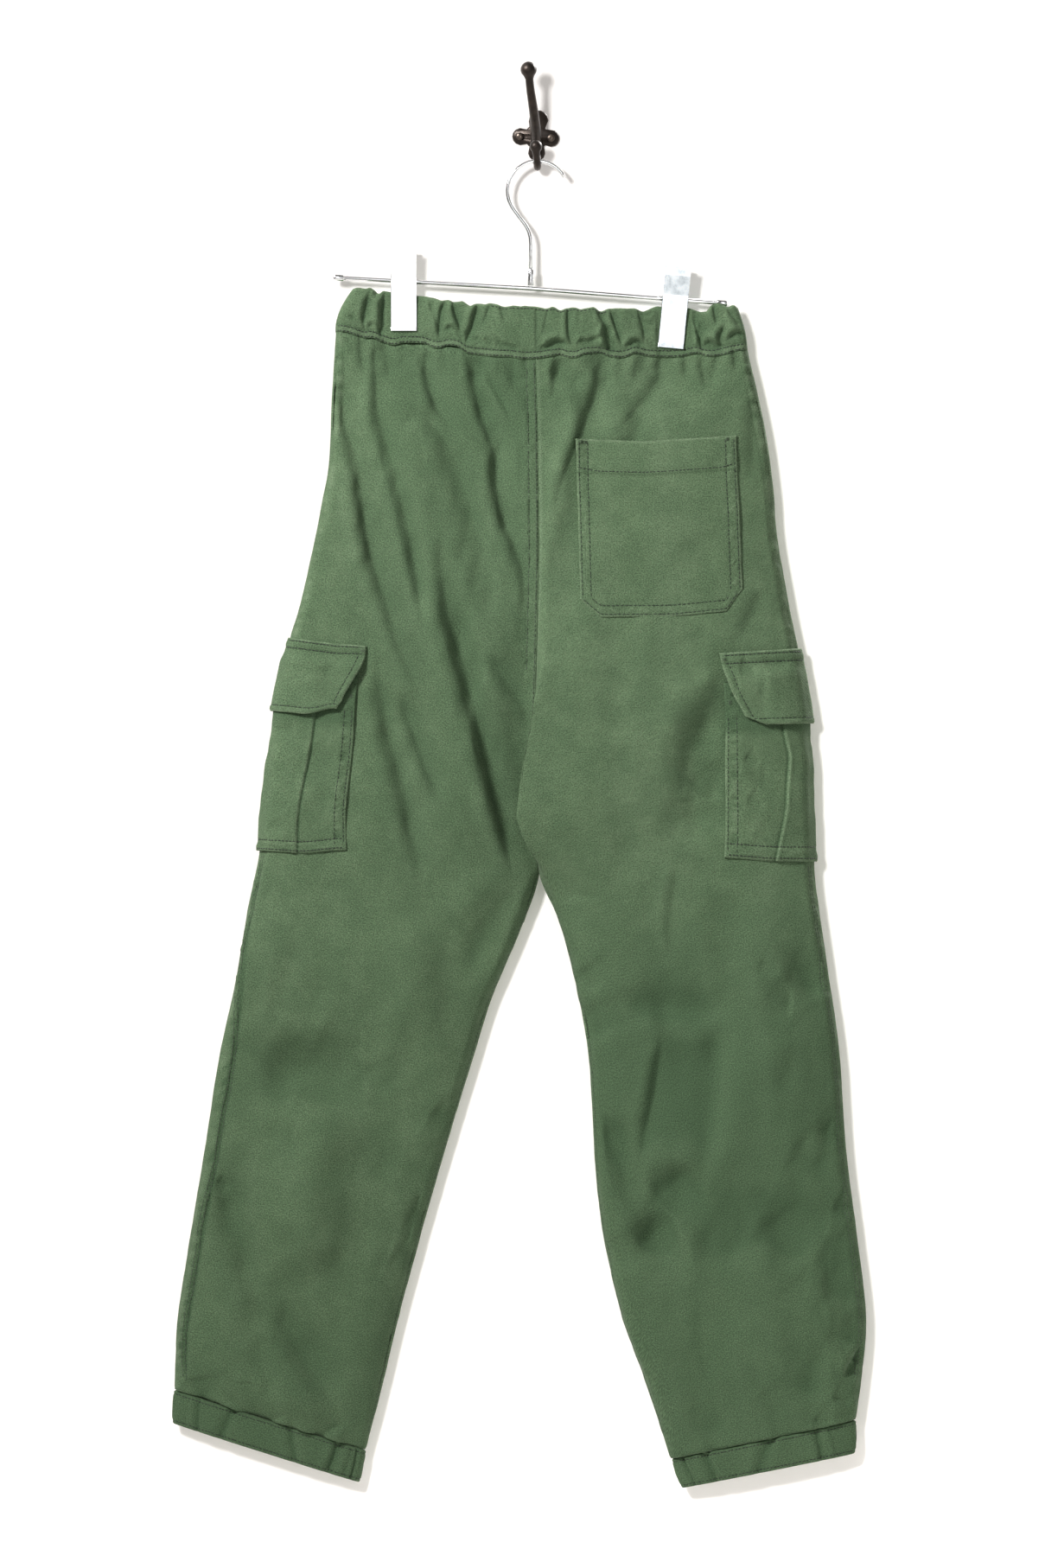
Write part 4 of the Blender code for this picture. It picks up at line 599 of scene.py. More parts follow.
swells = {      # broad soft forms: middle, half width and height, how far they stand out, and their lean
    "panel_back_left": (
        (-170, 732, 49, 74, 8, 12),
        (-216, 529, 42, 52, 5, 12),
        (-100, 543, 38, 63, 5, -12),
        (-30, 526, 18, 52, 4, 28),
        (-251, 820, 27, 49, 4, 10),
        (-191, 881, 34, 20, 3.5, 0),
        (-106, 844, 24, 63, -3, 12),
        (-193, 617, 42, 24, -3, 0),
        (-225, 214, 35, 105, 3, 0),
        (-102, 102, 28, 63, 2.5, -8),
    ),
    "panel_back_right": (
        (71, 844, 43, 84, 6, -14),
        (199, 617, 36, 66, 5, -4),
        (185, 834, 49, 59, 5, -6),
        (115, 617, 24, 41, -4, 4),
        (57, 494, 36, 63, 4, -10),
        (157, 354, 24, 77, -3, 8),
        (80, 347, 56, 112, 3, 0),
        (118, 694, 21, 17, 3, -40),
        (181, 512, 28, 35, 3, 0),
        (199, 732, 49, 24, -3, 10),
    ),
    "panel_front_left": (
        (-190, 700, 50, 80, 6, 12),
        (-238, 540, 44, 60, 4, 12),
        (-100, 540, 42, 66, 4, -12),
        (-236, 830, 30, 52, 4, 10),
        (-190, 880, 36, 22, 3, 0),
        (-120, 120, 36, 100, 3, -10),
    ),
    "panel_front_right": (
        (88, 820, 44, 86, 5, -14),
        (190, 640, 42, 70, 4, -4),
        (186, 830, 50, 60, 5, -6),
        (112, 620, 28, 44, -4, 4),
        (70, 500, 40, 66, 4, -10),
        (110, 140, 44, 100, 3, 8),
    ),
}

riseSeams = {      # rows of sewing on the panels: groove, pucker, pitch and width, then the line
    "panel_back_left": (
        (0.15, 0.3, 5.0, 2.4,
         ((-2.2, 44), (-0.8, 88), (-0.1, 137), (0.0, 178), (0.0, 216), (-1.0, 262), (-2.4, 300))),
        (0.35, 0.75, 5.0, 4.2, ((-8.6, 44), (-7.4, 88), (-6.6, 137), (-6.4, 178), (-6.6, 216), (-7.6, 262),
                                (-9.0, 300))),
    ),
}

drape = {      # which way the folds run above and below the seat, how wide they are and how high
    "panel_back_left": ((0.30, 1.0), (-0.30, 1.0), 17.0, 26.0, 0.9, 0.9),
    "panel_back_right": ((-0.12, 1.0), (0.22, 1.0), 24.0, 24.0, 0.7, 0.9),
    "panel_front_left": ((0.26, 1.0), (-0.28, 1.0), 20.0, 26.0, 1.1, 1.0),
    "panel_front_right": ((-0.26, 1.0), (0.22, 1.0), 20.0, 25.0, 1.1, 1.0),
}

tails = dict(reach=(14.0, 52.0), width=(2.2, 3.8), depth=(0.9, 2.2), sway=0.30, every=9.5, start=3.0)


def cadGrid(node):
    # the outer skin of a panel's solid, put back in the rows and columns that it was laid out in
    side = -1 if "_back" in node else 1
    solid = bmesh.new()
    solid.from_mesh(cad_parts[node].data)
    bmesh.ops.remove_doubles(solid, verts=solid.verts, dist=weld)
    shortest = panel["rim"] * mm
    rims = {face for face in solid.faces if min(edge.calc_length() for edge in face.edges) < shortest}
    walls = [face for face in solid.faces if face not in rims]
    first = max(walls, key=lambda face: side * face.calc_center_median().y)
    skin, queue = {first}, [first]
    while queue:
        face = queue.pop()
        for edge in face.edges:
            for other in edge.link_faces:
                if other not in skin and other not in rims:
                    skin.add(other)
                    queue.append(other)
    beside, border = {}, {}
    for edge in solid.edges:
        count = sum(face in skin for face in edge.link_faces)
        for vert in edge.verts:
            if count:
                beside.setdefault(vert, set()).add(edge.other_vert(vert))
            if count == 1:
                border.setdefault(vert, []).append(edge.other_vert(vert))
    loop = [next(iter(border))]
    while len(loop) < len(border):
        ahead = [vert for vert in border[loop[-1]] if vert not in loop[-2:]]
        loop.append(ahead[0])
    flat = np.array([(vert.co.x, vert.co.z) for vert in loop])
    before, after = flat - np.roll(flat, 1, 0), np.roll(flat, -1, 0) - flat
    turn = np.abs(np.angle((after @ (1, 1j)) / (before @ (1, 1j))))
    corners = sorted(np.argsort(turn)[-4:])
    chains = []
    for start, end in zip(corners, corners[1:] + [corners[0] + len(loop)]):
        chains.append([loop[n % len(loop)] for n in range(start, end + 1)])
    tall = sorted(chains, key=len)[-2:]
    column = max(tall, key=lambda chain: abs(np.mean([vert.co.x for vert in chain])))
    columns, seen = [], set()
    while column:
        column = sorted(column, key=lambda vert: -vert.co.z)
        columns.append([tuple(vert.co / mm) for vert in column])
        seen.update(column)
        column = list({vert for known in column for vert in beside[known]} - seen)
    solid.free()
    return np.array(columns).transpose(1, 0, 2)


def refined(grid, rows, columns):
    tall = alongCurve(grid, np.linspace(0, 1, rows + 1)).transpose(1, 0, 2)
    return alongCurve(tall, np.linspace(0, 1, columns + 1)).transpose(1, 0, 2)


basePanels = {node: refined(cadGrid(node), *panel["back" if "_back" in node else "front"])
              for node in panelNodes}
print("panel grids", {node: grid.shape[:2] for node, grid in basePanels.items()})


def seamRelief(x, drop, seams):
    # a sewn line: a narrow groove, and puckers that run off it across the cloth
    relief = np.zeros_like(x)
    for groove, pucker, pitch, width, points in seams:
        near, gap, side, along = nearLine(x, drop, points, 3 * width)[:4]
        wave = softNoise(along, side * 40.0, pitch, 7) + 0.6 * softNoise(along, gap, pitch * 2.3, 8)
        relief[near] += pucker * wave * bell(gap, width) - groove * bell(gap, 1.3)
    return relief


def drapeRelief(node, x, drop):
    # the shallow folds between the creases, long in the way that the cloth hangs
    above, below, narrow, wide, high, low = drape[node]
    relief = np.zeros_like(x)
    share = ease((drop - 420.0) / 110.0)
    for (across, down), size, amount, weight, seed in ((above, narrow, high, 1 - share, 201),
                                                       (below, wide, low, share, 202)):
        seed += 10 * panelNodes.index(node)
        length = math.hypot(across, down)
        over = (x * down - drop * across) / length
        along = (x * across + drop * down) / length
        relief += weight * amount * (softNoise(over, along * 0.22, size, seed)
                                     + 0.45 * softNoise(over, along * 0.35, size * 0.45, seed + 5))
    return relief


def swellRelief(x, drop, forms):
    relief = np.zeros_like(x)
    for middle, place, half, tall, height, lean in forms:
        turn = math.radians(lean)
        across = (x - middle) * math.cos(turn) + (drop - place) * math.sin(turn)
        along = (drop - place) * math.cos(turn) - (x - middle) * math.sin(turn)
        relief += height * np.exp(-0.5 * ((across / half * 1.5) ** 2 + (along / tall * 1.5) ** 2))
    return relief


def gatherTails(node):
    # short creases that run on from the waistband's gathers into the cloth below
    rng = np.random.default_rng(31 + panelNodes.index(node))
    direction = 1.0 if "_left" in node else -1.0
    found = []
    for place in np.arange(6.0, 160.0, tails["every"]):
        x = -direction * (place + rng.uniform(-3.5, 3.5))
        seam = 24.0 + 18.0 * (1 - abs(x) / 170.0) + tails["start"]
        reach = rng.uniform(*tails["reach"]) * rng.uniform(0.5, 1.0)
        sway = direction * tails["sway"] * rng.uniform(-0.3, 1.0)
        line = [(x + sway * reach * k + rng.uniform(-0.8, 0.8), seam + reach * k)
                for k in (-0.3, 0.0, 0.35, 0.7, 1.0)]
        found.append((rng.uniform(*tails["width"]), rng.uniform(*tails["depth"]), 0.5, line))
    return found


def rolledSeam(drop, fromSide, fromTop, fromHem):
    # below the cargo pocket the left side seam lies on the back, and it puckers: relief, and painted shade in
    # its groove and between its puckers
    fromRow = fromSide - readTable(panel["rolledSeam"], drop)
    below = ease((drop - 445.0) / 20.0) * ease((fromHem - 8.0) / 30.0)
    pucker = softNoise(fromTop + 0.4 * fromRow, fromRow * 0.25, 3.6, 33)
    beside = bell(fromRow + 4.0, 3.4) * below
    relief = beside * (0.6 + 1.0 * pucker) - below * 1.1 * bell(fromRow, 1.8)
    return relief, below * bell(fromRow, 1.7) + 1.6 * beside * np.clip(-pucker, 0, 1)


def panelShade(node, x, drop, relief):
    # painted shade: how much of the deep tone each place takes, in the creases, down the legs, on the left
    # seat, over the right leg and under the waistband, where light falls away
    tone = panel["legTone"] * panel["legShare"]["_right" in node]
    shadeAndSeams = relief + tone * (0.45 * ease((drop - 410.0) / 130.0) + 0.55 * ease((drop - 560.0) / 340.0))
    if node == "panel_back_left":
        shadeAndSeams += 0.34 * ease((520.0 - drop) / 120.0) * ease((x + 165.0) / 60.0)
    if node == "panel_back_right":
        shadeAndSeams += 0.42 * bell(drop - 620.0, 110.0)
    if "_back_" in node:
        shadeAndSeams += 0.16 * ease((150.0 - drop) / 90.0) + 0.22 * ease((150.0 - drop) / 60.0) * bell(x, 55.0)
    return shadeAndSeams


def buildPanel(node):
    side = -1 if "_back" in node else 1
    points = basePanels[node].copy()
    x, drop = points[..., 0].copy(), waistTop - points[..., 2]
    normals = outwardNormals(points, side)
    fromSide = arcAcross(points)
    fromInner = fromSide[:, -1:] - fromSide
    fromTop = arcDown(points)
    fromHem = fromTop[-1:] - fromTop
    relief = creaseRelief(x, drop, creases[node], *panel["creases"]) + drapeRelief(node, x, drop)
    relief += creaseRelief(x, drop, gatherTails(node)) + swellRelief(x, drop, swells[node])
    relief *= 1 + panel["legFolds"] * ease((drop - 470.0) / 150.0)
    quiet = ease(fromSide / 12.0) * (0.35 + 0.65 * ease(fromInner / 14.0)) * (0.5 + 0.5 * ease(fromTop / 8.0))
    relief *= quiet
    relief += 0.45 * softNoise(x, drop * 0.6, 42.0, 3 + side) * ease(fromSide / 25.0)
    relief += lumps(x, drop, ((0.26, 10.0, 11 + side), (0.14, 5.0, 12 + side)))
    # gathers let into the cloth above the cuff and below the waistband
    relief += 1.7 * softNoise(x + 0.3 * fromHem, fromHem * 0.3, 9.0, 21) * bell(fromHem, 24.0)
    relief += 0.6 * softNoise(x + 0.1 * drop, 0 * x, 8.0, 22) * bell(fromTop, 16.0)
    relief += seamRelief(x, drop, riseSeams.get(node, ()))
    # puckers of the outseam and inseam, the outseam's row, and the cloth's edges turned down
    for gap, amount, seed in ((fromSide, 0.85, 5), (fromInner, 0.4, 6)):
        wave = softNoise(fromTop, gap * 0.15, 5.0, seed) + 0.6 * softNoise(fromTop, 0 * gap, 14.0, seed + 9)
        relief += amount * wave * bell(gap - 6.5, 4.0) * ease(gap / 1.5)
    relief -= lines(fromSide, ((10.0, 0.35, 1.2), (0.0, 0.9, 1.4)))
    relief -= 0.45 * bell(fromInner, 1.4) + 0.9 * bell(fromHem, 1.4)
    seamShade = 0.0
    if node == "panel_back_left":
        seamHeight, seamShade = rolledSeam(drop, fromSide, fromTop, fromHem)
        relief += seamHeight
    points += normals * relief[..., None]
    points[0] += (0.0, -side * 0.8, panel["underBand"])
    rise = drop[:, -1] < panel["riseEnd"]
    points[rise, -1, 0] += 0.3 if "_left" in node else -0.3
    # painted shade in the creases' troughs, plus the rolled seam's painted shade
    shadeAndSeams = panelShade(node, x, drop, np.clip(-relief / 8.0, 0, 0.35) * quiet) + seamShade
    worn = 0.5 * bell(fromSide - 6.5, 3.2) * np.clip(0.25 + softNoise(fromTop, 0 * x, 4.0, 31), 0, 1)
    worn += 0.3 * bell(np.minimum(fromSide, fromInner) - 1.5, 1.2)
    normals = outwardNormals(points, side)
    sewn[node] = points, normals
    weave = np.stack((fromSide, fromTop), axis=-1)
    marks = toneMarks(worn, shadeAndSeams)
    piece = gridMesh(node + "_cloth", *turnIn(points, weave, marks, normals, panel["turnedIn"]))
    band = "waistband_back" if side < 0 else "waistband_front"
    finishCloth(piece, node, cutSizes[node], "hung", [band], area=0.205)


cutSizes = {      # what was cut for each panel, width by length in metres
    "panel_back_left": (0.300, 0.935), "panel_back_right": (0.300, 0.935),
    "panel_front_left": (0.285, 0.925), "panel_front_right": (0.285, 0.925),
}
sewn = {}      # final points and outward normals of every sheet, for its rows of stitches
for node in panelNodes:
    buildPanel(node)
print("panels")


# ---- waistband: a gathered casing with elastic in it

band = dict(
    columns=560, rows=30, lining=10, cloth=2.8, swell=1.0, endRound=9.0, power=2.4, folds=(1.9, 0.98),
    left=(-163.1, -149.1, 1.6), right=(170.8, 163.1, 1.2), bow=1.2, gap=0.15,      # seam x, top x, taper
    seam=dict(      # x and drop of the sewn edge, then of the gathered top edge
        back=((-163.1, 20.3), (-153.3, 21.3), (-146.3, 24.1), (-139.3, 26.2), (-133, 25.5),
               (-126, 28.7), (-119.7, 31.1), (-114.8, 31.8), (-109.2, 29.7), (-98.7, 29.7),
               (-89.6, 30.4), (-84.7, 33.6), (-79.1, 34.3), (-72.1, 31.8), (-63.7, 32.9), (-56, 38.8),
               (-45.5, 40.2), (-34.3, 41.3), (-21.7, 41.6), (-11.2, 43.4), (0, 43), (13.3, 40.9),
               (18.9, 39.5), (24.5, 42.3), (32.9, 42.3), (37.1, 39.5), (44.1, 38.8), (51.8, 38.1),
               (58.1, 40.9), (65.8, 42.3), (72.8, 41.6), (78.4, 38.1), (83.3, 38.8), (90.3, 40.9),
               (107.8, 41.6), (118.3, 40.9), (125.3, 38.8), (130.9, 38.1), (134.4, 40.2), (142.8, 40.9),
               (151.9, 39.5), (160.3, 36.8), (170.8, 35)),
        front=((-163.1, 21.0), (-144, 25.5), (-123, 30.1), (-62, 37.5), (-1.4, 42.0),
               (55, 37.5), (92, 38.0), (128, 39.2), (150, 37.0), (170.8, 34.3))),
    top=dict(
        back=((-149.1, -14), (-144.2, -15.4), (-140, -14), (-135.1, -15.4), (-130.9, -12.6),
               (-128.1, -9.1), (-124.6, -12.6), (-120.4, -11.9), (-108.5, -9.8), (-95.2, -8.4),
               (-86.8, -7.7), (-82.6, -6.3), (-77, -4.2), (-72.8, -5.6), (-68.6, -3.5), (-63.7, -3.5),
               (-59.5, -4.2), (-56, -1.4), (-53.2, 0), (-48.3, -2.1), (-42.7, -1.4), (-35.7, -2.1),
               (-30.8, -0.7), (-26.6, 0.7), (-18.2, 0), (-1.4, 0.7), (7.7, 2.1), (13.3, 0.7),
               (18.9, 4.2), (23.8, 2.1), (29.4, 1.4), (35.7, 2.8), (46.9, 0.7), (51.1, 4.9), (57.4, 2.1),
               (63.7, 2.1), (79.8, 1.4), (85.4, 4.2), (91.7, 2.1), (97.3, 0), (108.5, 0.7), (123.2, 1.4),
               (129.5, 3.5), (134.4, 4.9), (139.3, 2.8), (142.1, -1.4), (146.3, -2.8), (150.5, -1.4),
               (154.7, 1.4), (158.9, -1.4), (163.1, 1.4)),
        front=((-149.1, -12.4), (-136, -9.4), (-123, -8.0), (-109, -6.2), (-97, -4.2), (-78, -1.2),
               (-54.6, 1.4), (-30, 3.2), (-1.4, 3.6), (21, 5.2), (50, 4.6), (74, 3.9), (99, 4.6),
               (124, 4.9), (141, 3.0), (163.1, 2.8))),
    depth=((-165, 7.0), (-140, 6.2), (-121, 3.1), (-95, 3.1), (-72, 8.0), (-35, 12.0),
           (0, 13.0), (40, 12.0), (76, 8.0), (98, 3.1), (126, 3.1), (146, 6.2), (172, 7.0)),
    clips=(-107.8, 112.3), grip=(13.0, 4.0), stitched=5.6, ply=0.6, blend=9.0,
)
gathers = {      # the folds of the gathered casing, in the same form as the creases of the panels
    "back": (
        (1.5, 1.3, 0.3, ((-153.3, 7), (-146.3, 11.9), (-140.7, 17.5))),
        (1.7, 1.7, 0.4, ((-135.1, -13.3), (-137.9, -2.8), (-140, 5.6), (-140, 14), (-137.9, 22.4))),
        (1.6, 1.6, 0.4, ((-125.3, 23.8), (-128.8, 17.5), (-133.7, 14.7), (-138.6, 18.9))),
        (2, 2.5, 0.5, ((-121.8, -14.7), (-124.6, -2.8), (-125.3, 8.4), (-126, 19.6), (-128.1, 30.8))),
        (1.4, 1.4, 0.3, ((-131.6, -14), (-128.8, -7), (-123.9, -12.6))),
        (1.4, 1.4, 0.3, ((-87.5, -6.3), (-84.7, 2.1), (-81.2, 12.6), (-79.1, 21))),
        (1.7, 1.8, 0.4, ((-72.1, -7.7), (-77, 2.8), (-78.4, 12.6), (-79.1, 22.4), (-77.7, 30.8))),
        (1.8, 2.3, 0.5, ((-68.6, -7), (-66.5, 4.2), (-63, 14), (-60.9, 23.8), (-59.5, 33.6))),
        (1.6, 1.8, 0.4, ((-61.6, 26.6), (-65.8, 19.6), (-70.7, 17.5), (-76.3, 21))),
        (2, 2.4, 0.5, ((-46.9, -4.2), (-50.4, 8.4), (-53.2, 18.2), (-56.7, 28), (-59.5, 35))),
        (1.3, 1.2, 0.3, ((-42.7, 32.2), (-48.3, 25.9), (-53.2, 28.7))),
        (1.3, 1.2, 0.3, ((-35, 33.6), (-39.2, 26.6), (-43.4, 28.7))),
        (1.6, 1, 0.3, ((-37.1, -3.5), (-40.6, 7), (-44.8, 16.8))),
        (1.3, 0.9, 0.3, ((-30.8, -2.1), (-27.3, 8.4), (-25.9, 15.4))),
        (1.6, 1.5, 0.3, ((-11.9, 35.7), (-21.7, 32.9), (-28.7, 30.1), (-33.6, 22.4))),
        (1.1, 0.8, 0.2, ((-0.7, -2.8), (-0.3, 12.6), (-0.3, 29.4), (-0.3, 42))),
        (1.8, 2.2, 0.4, ((28, 32.9), (20.3, 29.4), (14, 29.4), (7.7, 32.9), (-0.7, 34.3))),
        (1.4, 1.8, 0.3, ((25.2, -1.4), (25.2, 12.6), (25.9, 23.8), (28.7, 35))),
        (1.6, 1.6, 0.3, ((54.6, 25.2), (48.3, 25.9), (41.3, 28.7), (35.7, 28.7), (30.1, 33.6))),
        (1.6, 1.7, 0.4, ((47.6, 2.8), (53.2, 11.2), (57.4, 18.9), (59.5, 28))),
        (2.2, 2.8, 0.5, ((52.5, 14), (56, 23.1), (58.1, 32.2), (58.1, 43.4))),
        (1.5, 2, 0.4, ((58.8, 1.4), (63, 13.3), (66.5, 23.8), (70, 35))),
        (1.7, 2, 0.4, ((88.9, 33.6), (84, 29.4), (79.8, 28), (74.9, 30.8), (69.3, 33.6))),
        (1.5, 1.4, 0.3, ((81.2, 0.7), (84.7, 11.2), (86.8, 21), (87.5, 32.2))),
        (1.3, 0.9, 0.3, ((86.1, 11.9), (91.7, 14), (97.3, 17.5))),
        (1.3, 1, 0.3, ((83.3, 5.6), (89.6, 7), (95.9, 4.2))),
        (1.3, 0.7, 0.3, ((9.8, 1.4), (7, 12.6), (4.9, 25.2))),
        (1.9, 2.4, 0.5, ((122.5, -1.4), (126.7, 11.2), (130.9, 21), (133, 29.4), (133.7, 40.6))),
        (1.6, 1.7, 0.4, ((132.3, 22.4), (125.3, 20.3), (118.3, 22.4))),
        (1.5, 1.6, 0.4, ((142.8, -4.2), (144.2, 5.6), (146.3, 16.8))),
        (1.6, 2, 0.4, ((153.3, 15.4), (149.1, 21), (147.7, 26.6), (151.9, 33.6))),
        (1.5, 1.4, 0.4, ((153.3, 1.4), (160.3, 10.5), (167.3, 22.4))),
        (1.7, 2, 0.4, ((170.1, 25.2), (164.5, 21.7), (158.9, 23.1), (152.6, 29.4))),
        (2, 2.2, 0.4, ((153.3, 31.5), (146.3, 32.2), (140, 29.4), (133, 33.6))),
        (1.6, 1.1, 0.3, ((130.9, 12.6), (135.1, 17.5), (139.3, 21))),
    ),
    "front": (
        (1.6, 1.7, 0.4, ((-148.4, 27), (-146.8, 14), (-148.3, 1), (-147.3, -9))),
        (1.6, 2.2, 0.4, ((-137.1, 24), (-136.1, 11.5), (-133.6, -1.5), (-135.5, -11))),
        (1.6, 1.9, 0.4, ((-125.9, 28.4), (-126.2, 13), (-129.1, 0), (-129.1, -12.4))),
        (1.8, 2.3, 0.4, ((-87.5, 31.3), (-87.9, 19.1), (-82.3, 6.1), (-83.4, -3))),
        (1.6, 1.7, 0.4, ((-77, 35), (-75.3, 17.5), (-80.1, 4.5), (-81.1, -10.1))),
        (1.7, 2.3, 0.4, ((-66.4, 38.6), (-63.1, 23.4), (-64.3, 10.4), (-63.3, -1.9))),
        (1.7, 1.4, 0.4, ((-50.6, 34.8), (-47.5, 22.3), (-46.6, 9.3), (-47.8, -0.2))),
        (1.6, 1.9, 0.4, ((-40.7, 37.1), (-44, 20), (-45.4, 7), (-45.6, -7.1))),
        (1.7, 1.4, 0.4, ((-25.3, 36.3), (-26, 22.7), (-24, 9.7), (-25.1, -1))),
        (1.6, 1.7, 0.4, ((-12.6, 39.8), (-14, 23.8), (-8.4, 10.8), (-10.9, -2.1))),
        (1.6, 1.4, 0.4, ((8, 43.3), (9.2, 27.5), (5.4, 14.5), (5.3, 1.8))),
        (1.7, 1.8, 0.4, ((19.4, 36.9), (22.9, 20), (20.7, 7), (23, -6.9))),
        (1.6, 1.7, 0.4, ((34.7, 41.7), (33.7, 26.3), (33.5, 13.3), (34.1, 1))),
        (1.7, 2.3, 0.4, ((47.6, 34.6), (50.6, 21.4), (50.4, 8.4), (54.8, -1.8))),
        (1.6, 1.9, 0.4, ((62.2, 32.8), (62.9, 17.9), (58.3, 4.9), (59.7, -6.9))),
        (1.6, 1.4, 0.4, ((73.6, 34.7), (72.4, 18.3), (72.7, 5.3), (72.6, -8.1))),
        (1.7, 2.2, 0.4, ((87.3, 34.1), (86.9, 21), (92.7, 8), (92.1, -2.2))),
        (1.6, 1.9, 0.4, ((131.2, 27.4), (132, 12.3), (129.3, -0.7), (128.7, -12.8))),
        (1.6, 1.7, 0.4, ((143.1, 23.5), (144.6, 13.3), (146.6, 0.3), (144.5, -6.9))),
        (1.6, 1.9, 0.4, ((157.3, 26.9), (158.4, 14.7), (155.8, 1.7), (156.7, -7.5))),
        (1.6, 1.6, 0.4, ((-125, 22.8), (-129, 18.3), (-135, 18.8), (-140, 23.3))),
        (1.6, 1.6, 0.4, ((-64, 28.9), (-68, 24.4), (-74, 24.9), (-79, 29.4))),
        (1.6, 1.6, 0.4, ((-25, 32.8), (-29, 28.3), (-35, 28.8), (-40, 33.3))),
        (1.6, 1.6, 0.4, ((21, 34.6), (17, 30.1), (11, 30.6), (6, 35.1))),
        (1.6, 1.6, 0.4, ((62, 30.5), (58, 26), (52, 26.5), (47, 31))),
        (1.6, 1.6, 0.4, ((88, 27.9), (84, 23.4), (78, 23.9), (73, 28.4))),
        (1.6, 1.6, 0.4, ((157, 21), (153, 16.5), (147, 17), (142, 21.5))),
    ),
}


def softTable(pairs, x, reach=5.0):
    # a table's straight lines with their corners rounded
    return sum(readTable(pairs, x + reach * k) * 0.25 for k in (-1, -0.5, 0.5, 1))


def outerFirst(piece, side):
    # a doubled wall has its lining facing the other way, so only the outer face decides
    def reach(facing):
        found = [side * polygon.center.y for polygon in piece.data.polygons
                 if polygon.normal.y * facing > 0.5]
        return sum(found) / max(len(found), 1)
    if reach(side) < reach(-side):
        piece.data.flip_normals()


def buildBand(face):
    side = -1 if face == "back" else 1
    up = np.linspace(0, 1, band["rows"] + 1)[:, None]
    across = np.linspace(0, 1, band["columns"] + 1)[None, :]
    bow = np.sin(np.pi * up) * band["bow"]
    ends = [between((low, high), up ** taper) for low, high, taper in (band["left"], band["right"])]
    left, right = ends[0] - bow, ends[1] + bow
    x = between((left, right), across)
    seam = softTable(band["seam"][face], between((band["left"][0], band["right"][0]), across), 1.5)
    top = softTable(band["top"][face], between((band["left"][1], band["right"][1]), across), 1.2)
    free = np.ones_like(x)
    for clip in band["clips"]:
        free = np.minimum(free, ease((np.abs(x - clip) - band["grip"][0]) / band["grip"][1]))
    height = (seam - top) * up
    folds = creaseRelief(x, seam - height, gathers[face], *band["folds"]) * free
    creased = np.maximum(-folds, 0.0)
    fromRow, fromTop = height - band["stitched"], seam - top - height
    casing = ease(fromRow / 1.4)
    puff = np.clip(fromRow / (seam - top - band["stitched"]), 0, 1)
    drop = between((seam, top + 0.3 * creased), up)
    drop = drop - 0.35 * softNoise(x, 0 * x, 3.2, 43) * up ** 4 * free
    edge = np.clip(np.minimum(x - left, right - x) / band["endRound"], 0, 1)
    rounding = (1 - (1 - edge) ** band["power"]) ** (1 / band["power"])
    plain = softTable(band["depth"], x, 6.0) * rounding
    swell = band["swell"] * np.sin(np.pi * puff) * casing
    swell += 0.25 * np.sin(np.pi * np.clip(height / band["stitched"], 0, 1))
    ripples = 0.3 * softNoise(x, height * 0.5, 3.8, 44)
    ripples += 0.8 * softNoise(x + 0.25 * height, height * 0.5, 10.0, 45)
    flatTop = 1 - 0.5 * ease((up - 0.8) / 0.2)
    relief = free * (swell + ripples * flatTop) + folds * (0.45 + 0.55 * casing)
    relief -= 0.5 * bell(fromRow, 0.8) + 0.8 * bell(fromTop, 1.0)
    full = np.maximum(plain + relief * rounding, 0.0)
    # the band's lower edge lies on the panels that it is sewn to
    below = [sewn["panel_%s_%s" % (face, leg)][0][2] for leg in legs]
    below = np.concatenate([row[np.argsort(row[:, 0])] for row in below])
    onPanel = side * (np.interp(x, below[:, 0], below[:, 1]) - midY) - band["gap"] + band["ply"]
    full = between((onPanel, full), 0.1 + 0.9 * ease(height / band["blend"]))
    outer = np.stack((x, midY + side * (band["gap"] + full), waistTop - drop), axis=-1)
    plainY = midY + side * (band["gap"] + np.maximum(plain - band["cloth"], 0.0) * rounding)
    inner = np.stack((x * 0.995, plainY, waistTop - drop - 0.3 * up), axis=-1)
    inner = inner[::-(band["rows"] // band["lining"])]
    sewn["waistband_" + face] = outer, outwardNormals(outer, side)
    # painted shade: a little darker all over and in the gathers' folds, darker along the sewn row, and darker
    # on the lining inside
    shadeAndSeams = 0.14 + np.clip(creased / 2.6, 0, 0.7) + 0.45 * bell(fromRow, 0.9)
    worn = (0.5 * bell(fromTop, 1.2) + 0.3 * bell(height - 3.0, 1.5)) * free
    lining = np.zeros((len(inner), inner.shape[1]))
    points = np.concatenate((outer, inner))
    weave = np.stack((arcAcross(points), arcDown(points)), axis=-1)
    skirt = points[:1] + (0, -side * 2.2, 0.3)
    marks = dict(shadeAndSeams=np.concatenate((shadeAndSeams[:1], shadeAndSeams, lining + 0.2)),
                 worn=np.concatenate((worn[:1], worn, lining)))
    piece = gridMesh("waistband_%s_cloth" % face, np.concatenate((skirt, points)),
                     np.concatenate((weave[:1], weave)), marks)
    outerFirst(piece, side)
    finishCloth(piece, "waistband_" + face, (0.430, 0.062), "gathered",
                ["clip_left_" + face, "clip_right_" + face])


for face in faces:
    buildBand(face)
print("waistband")


# ---- cuffs: rings with elastic in their casings

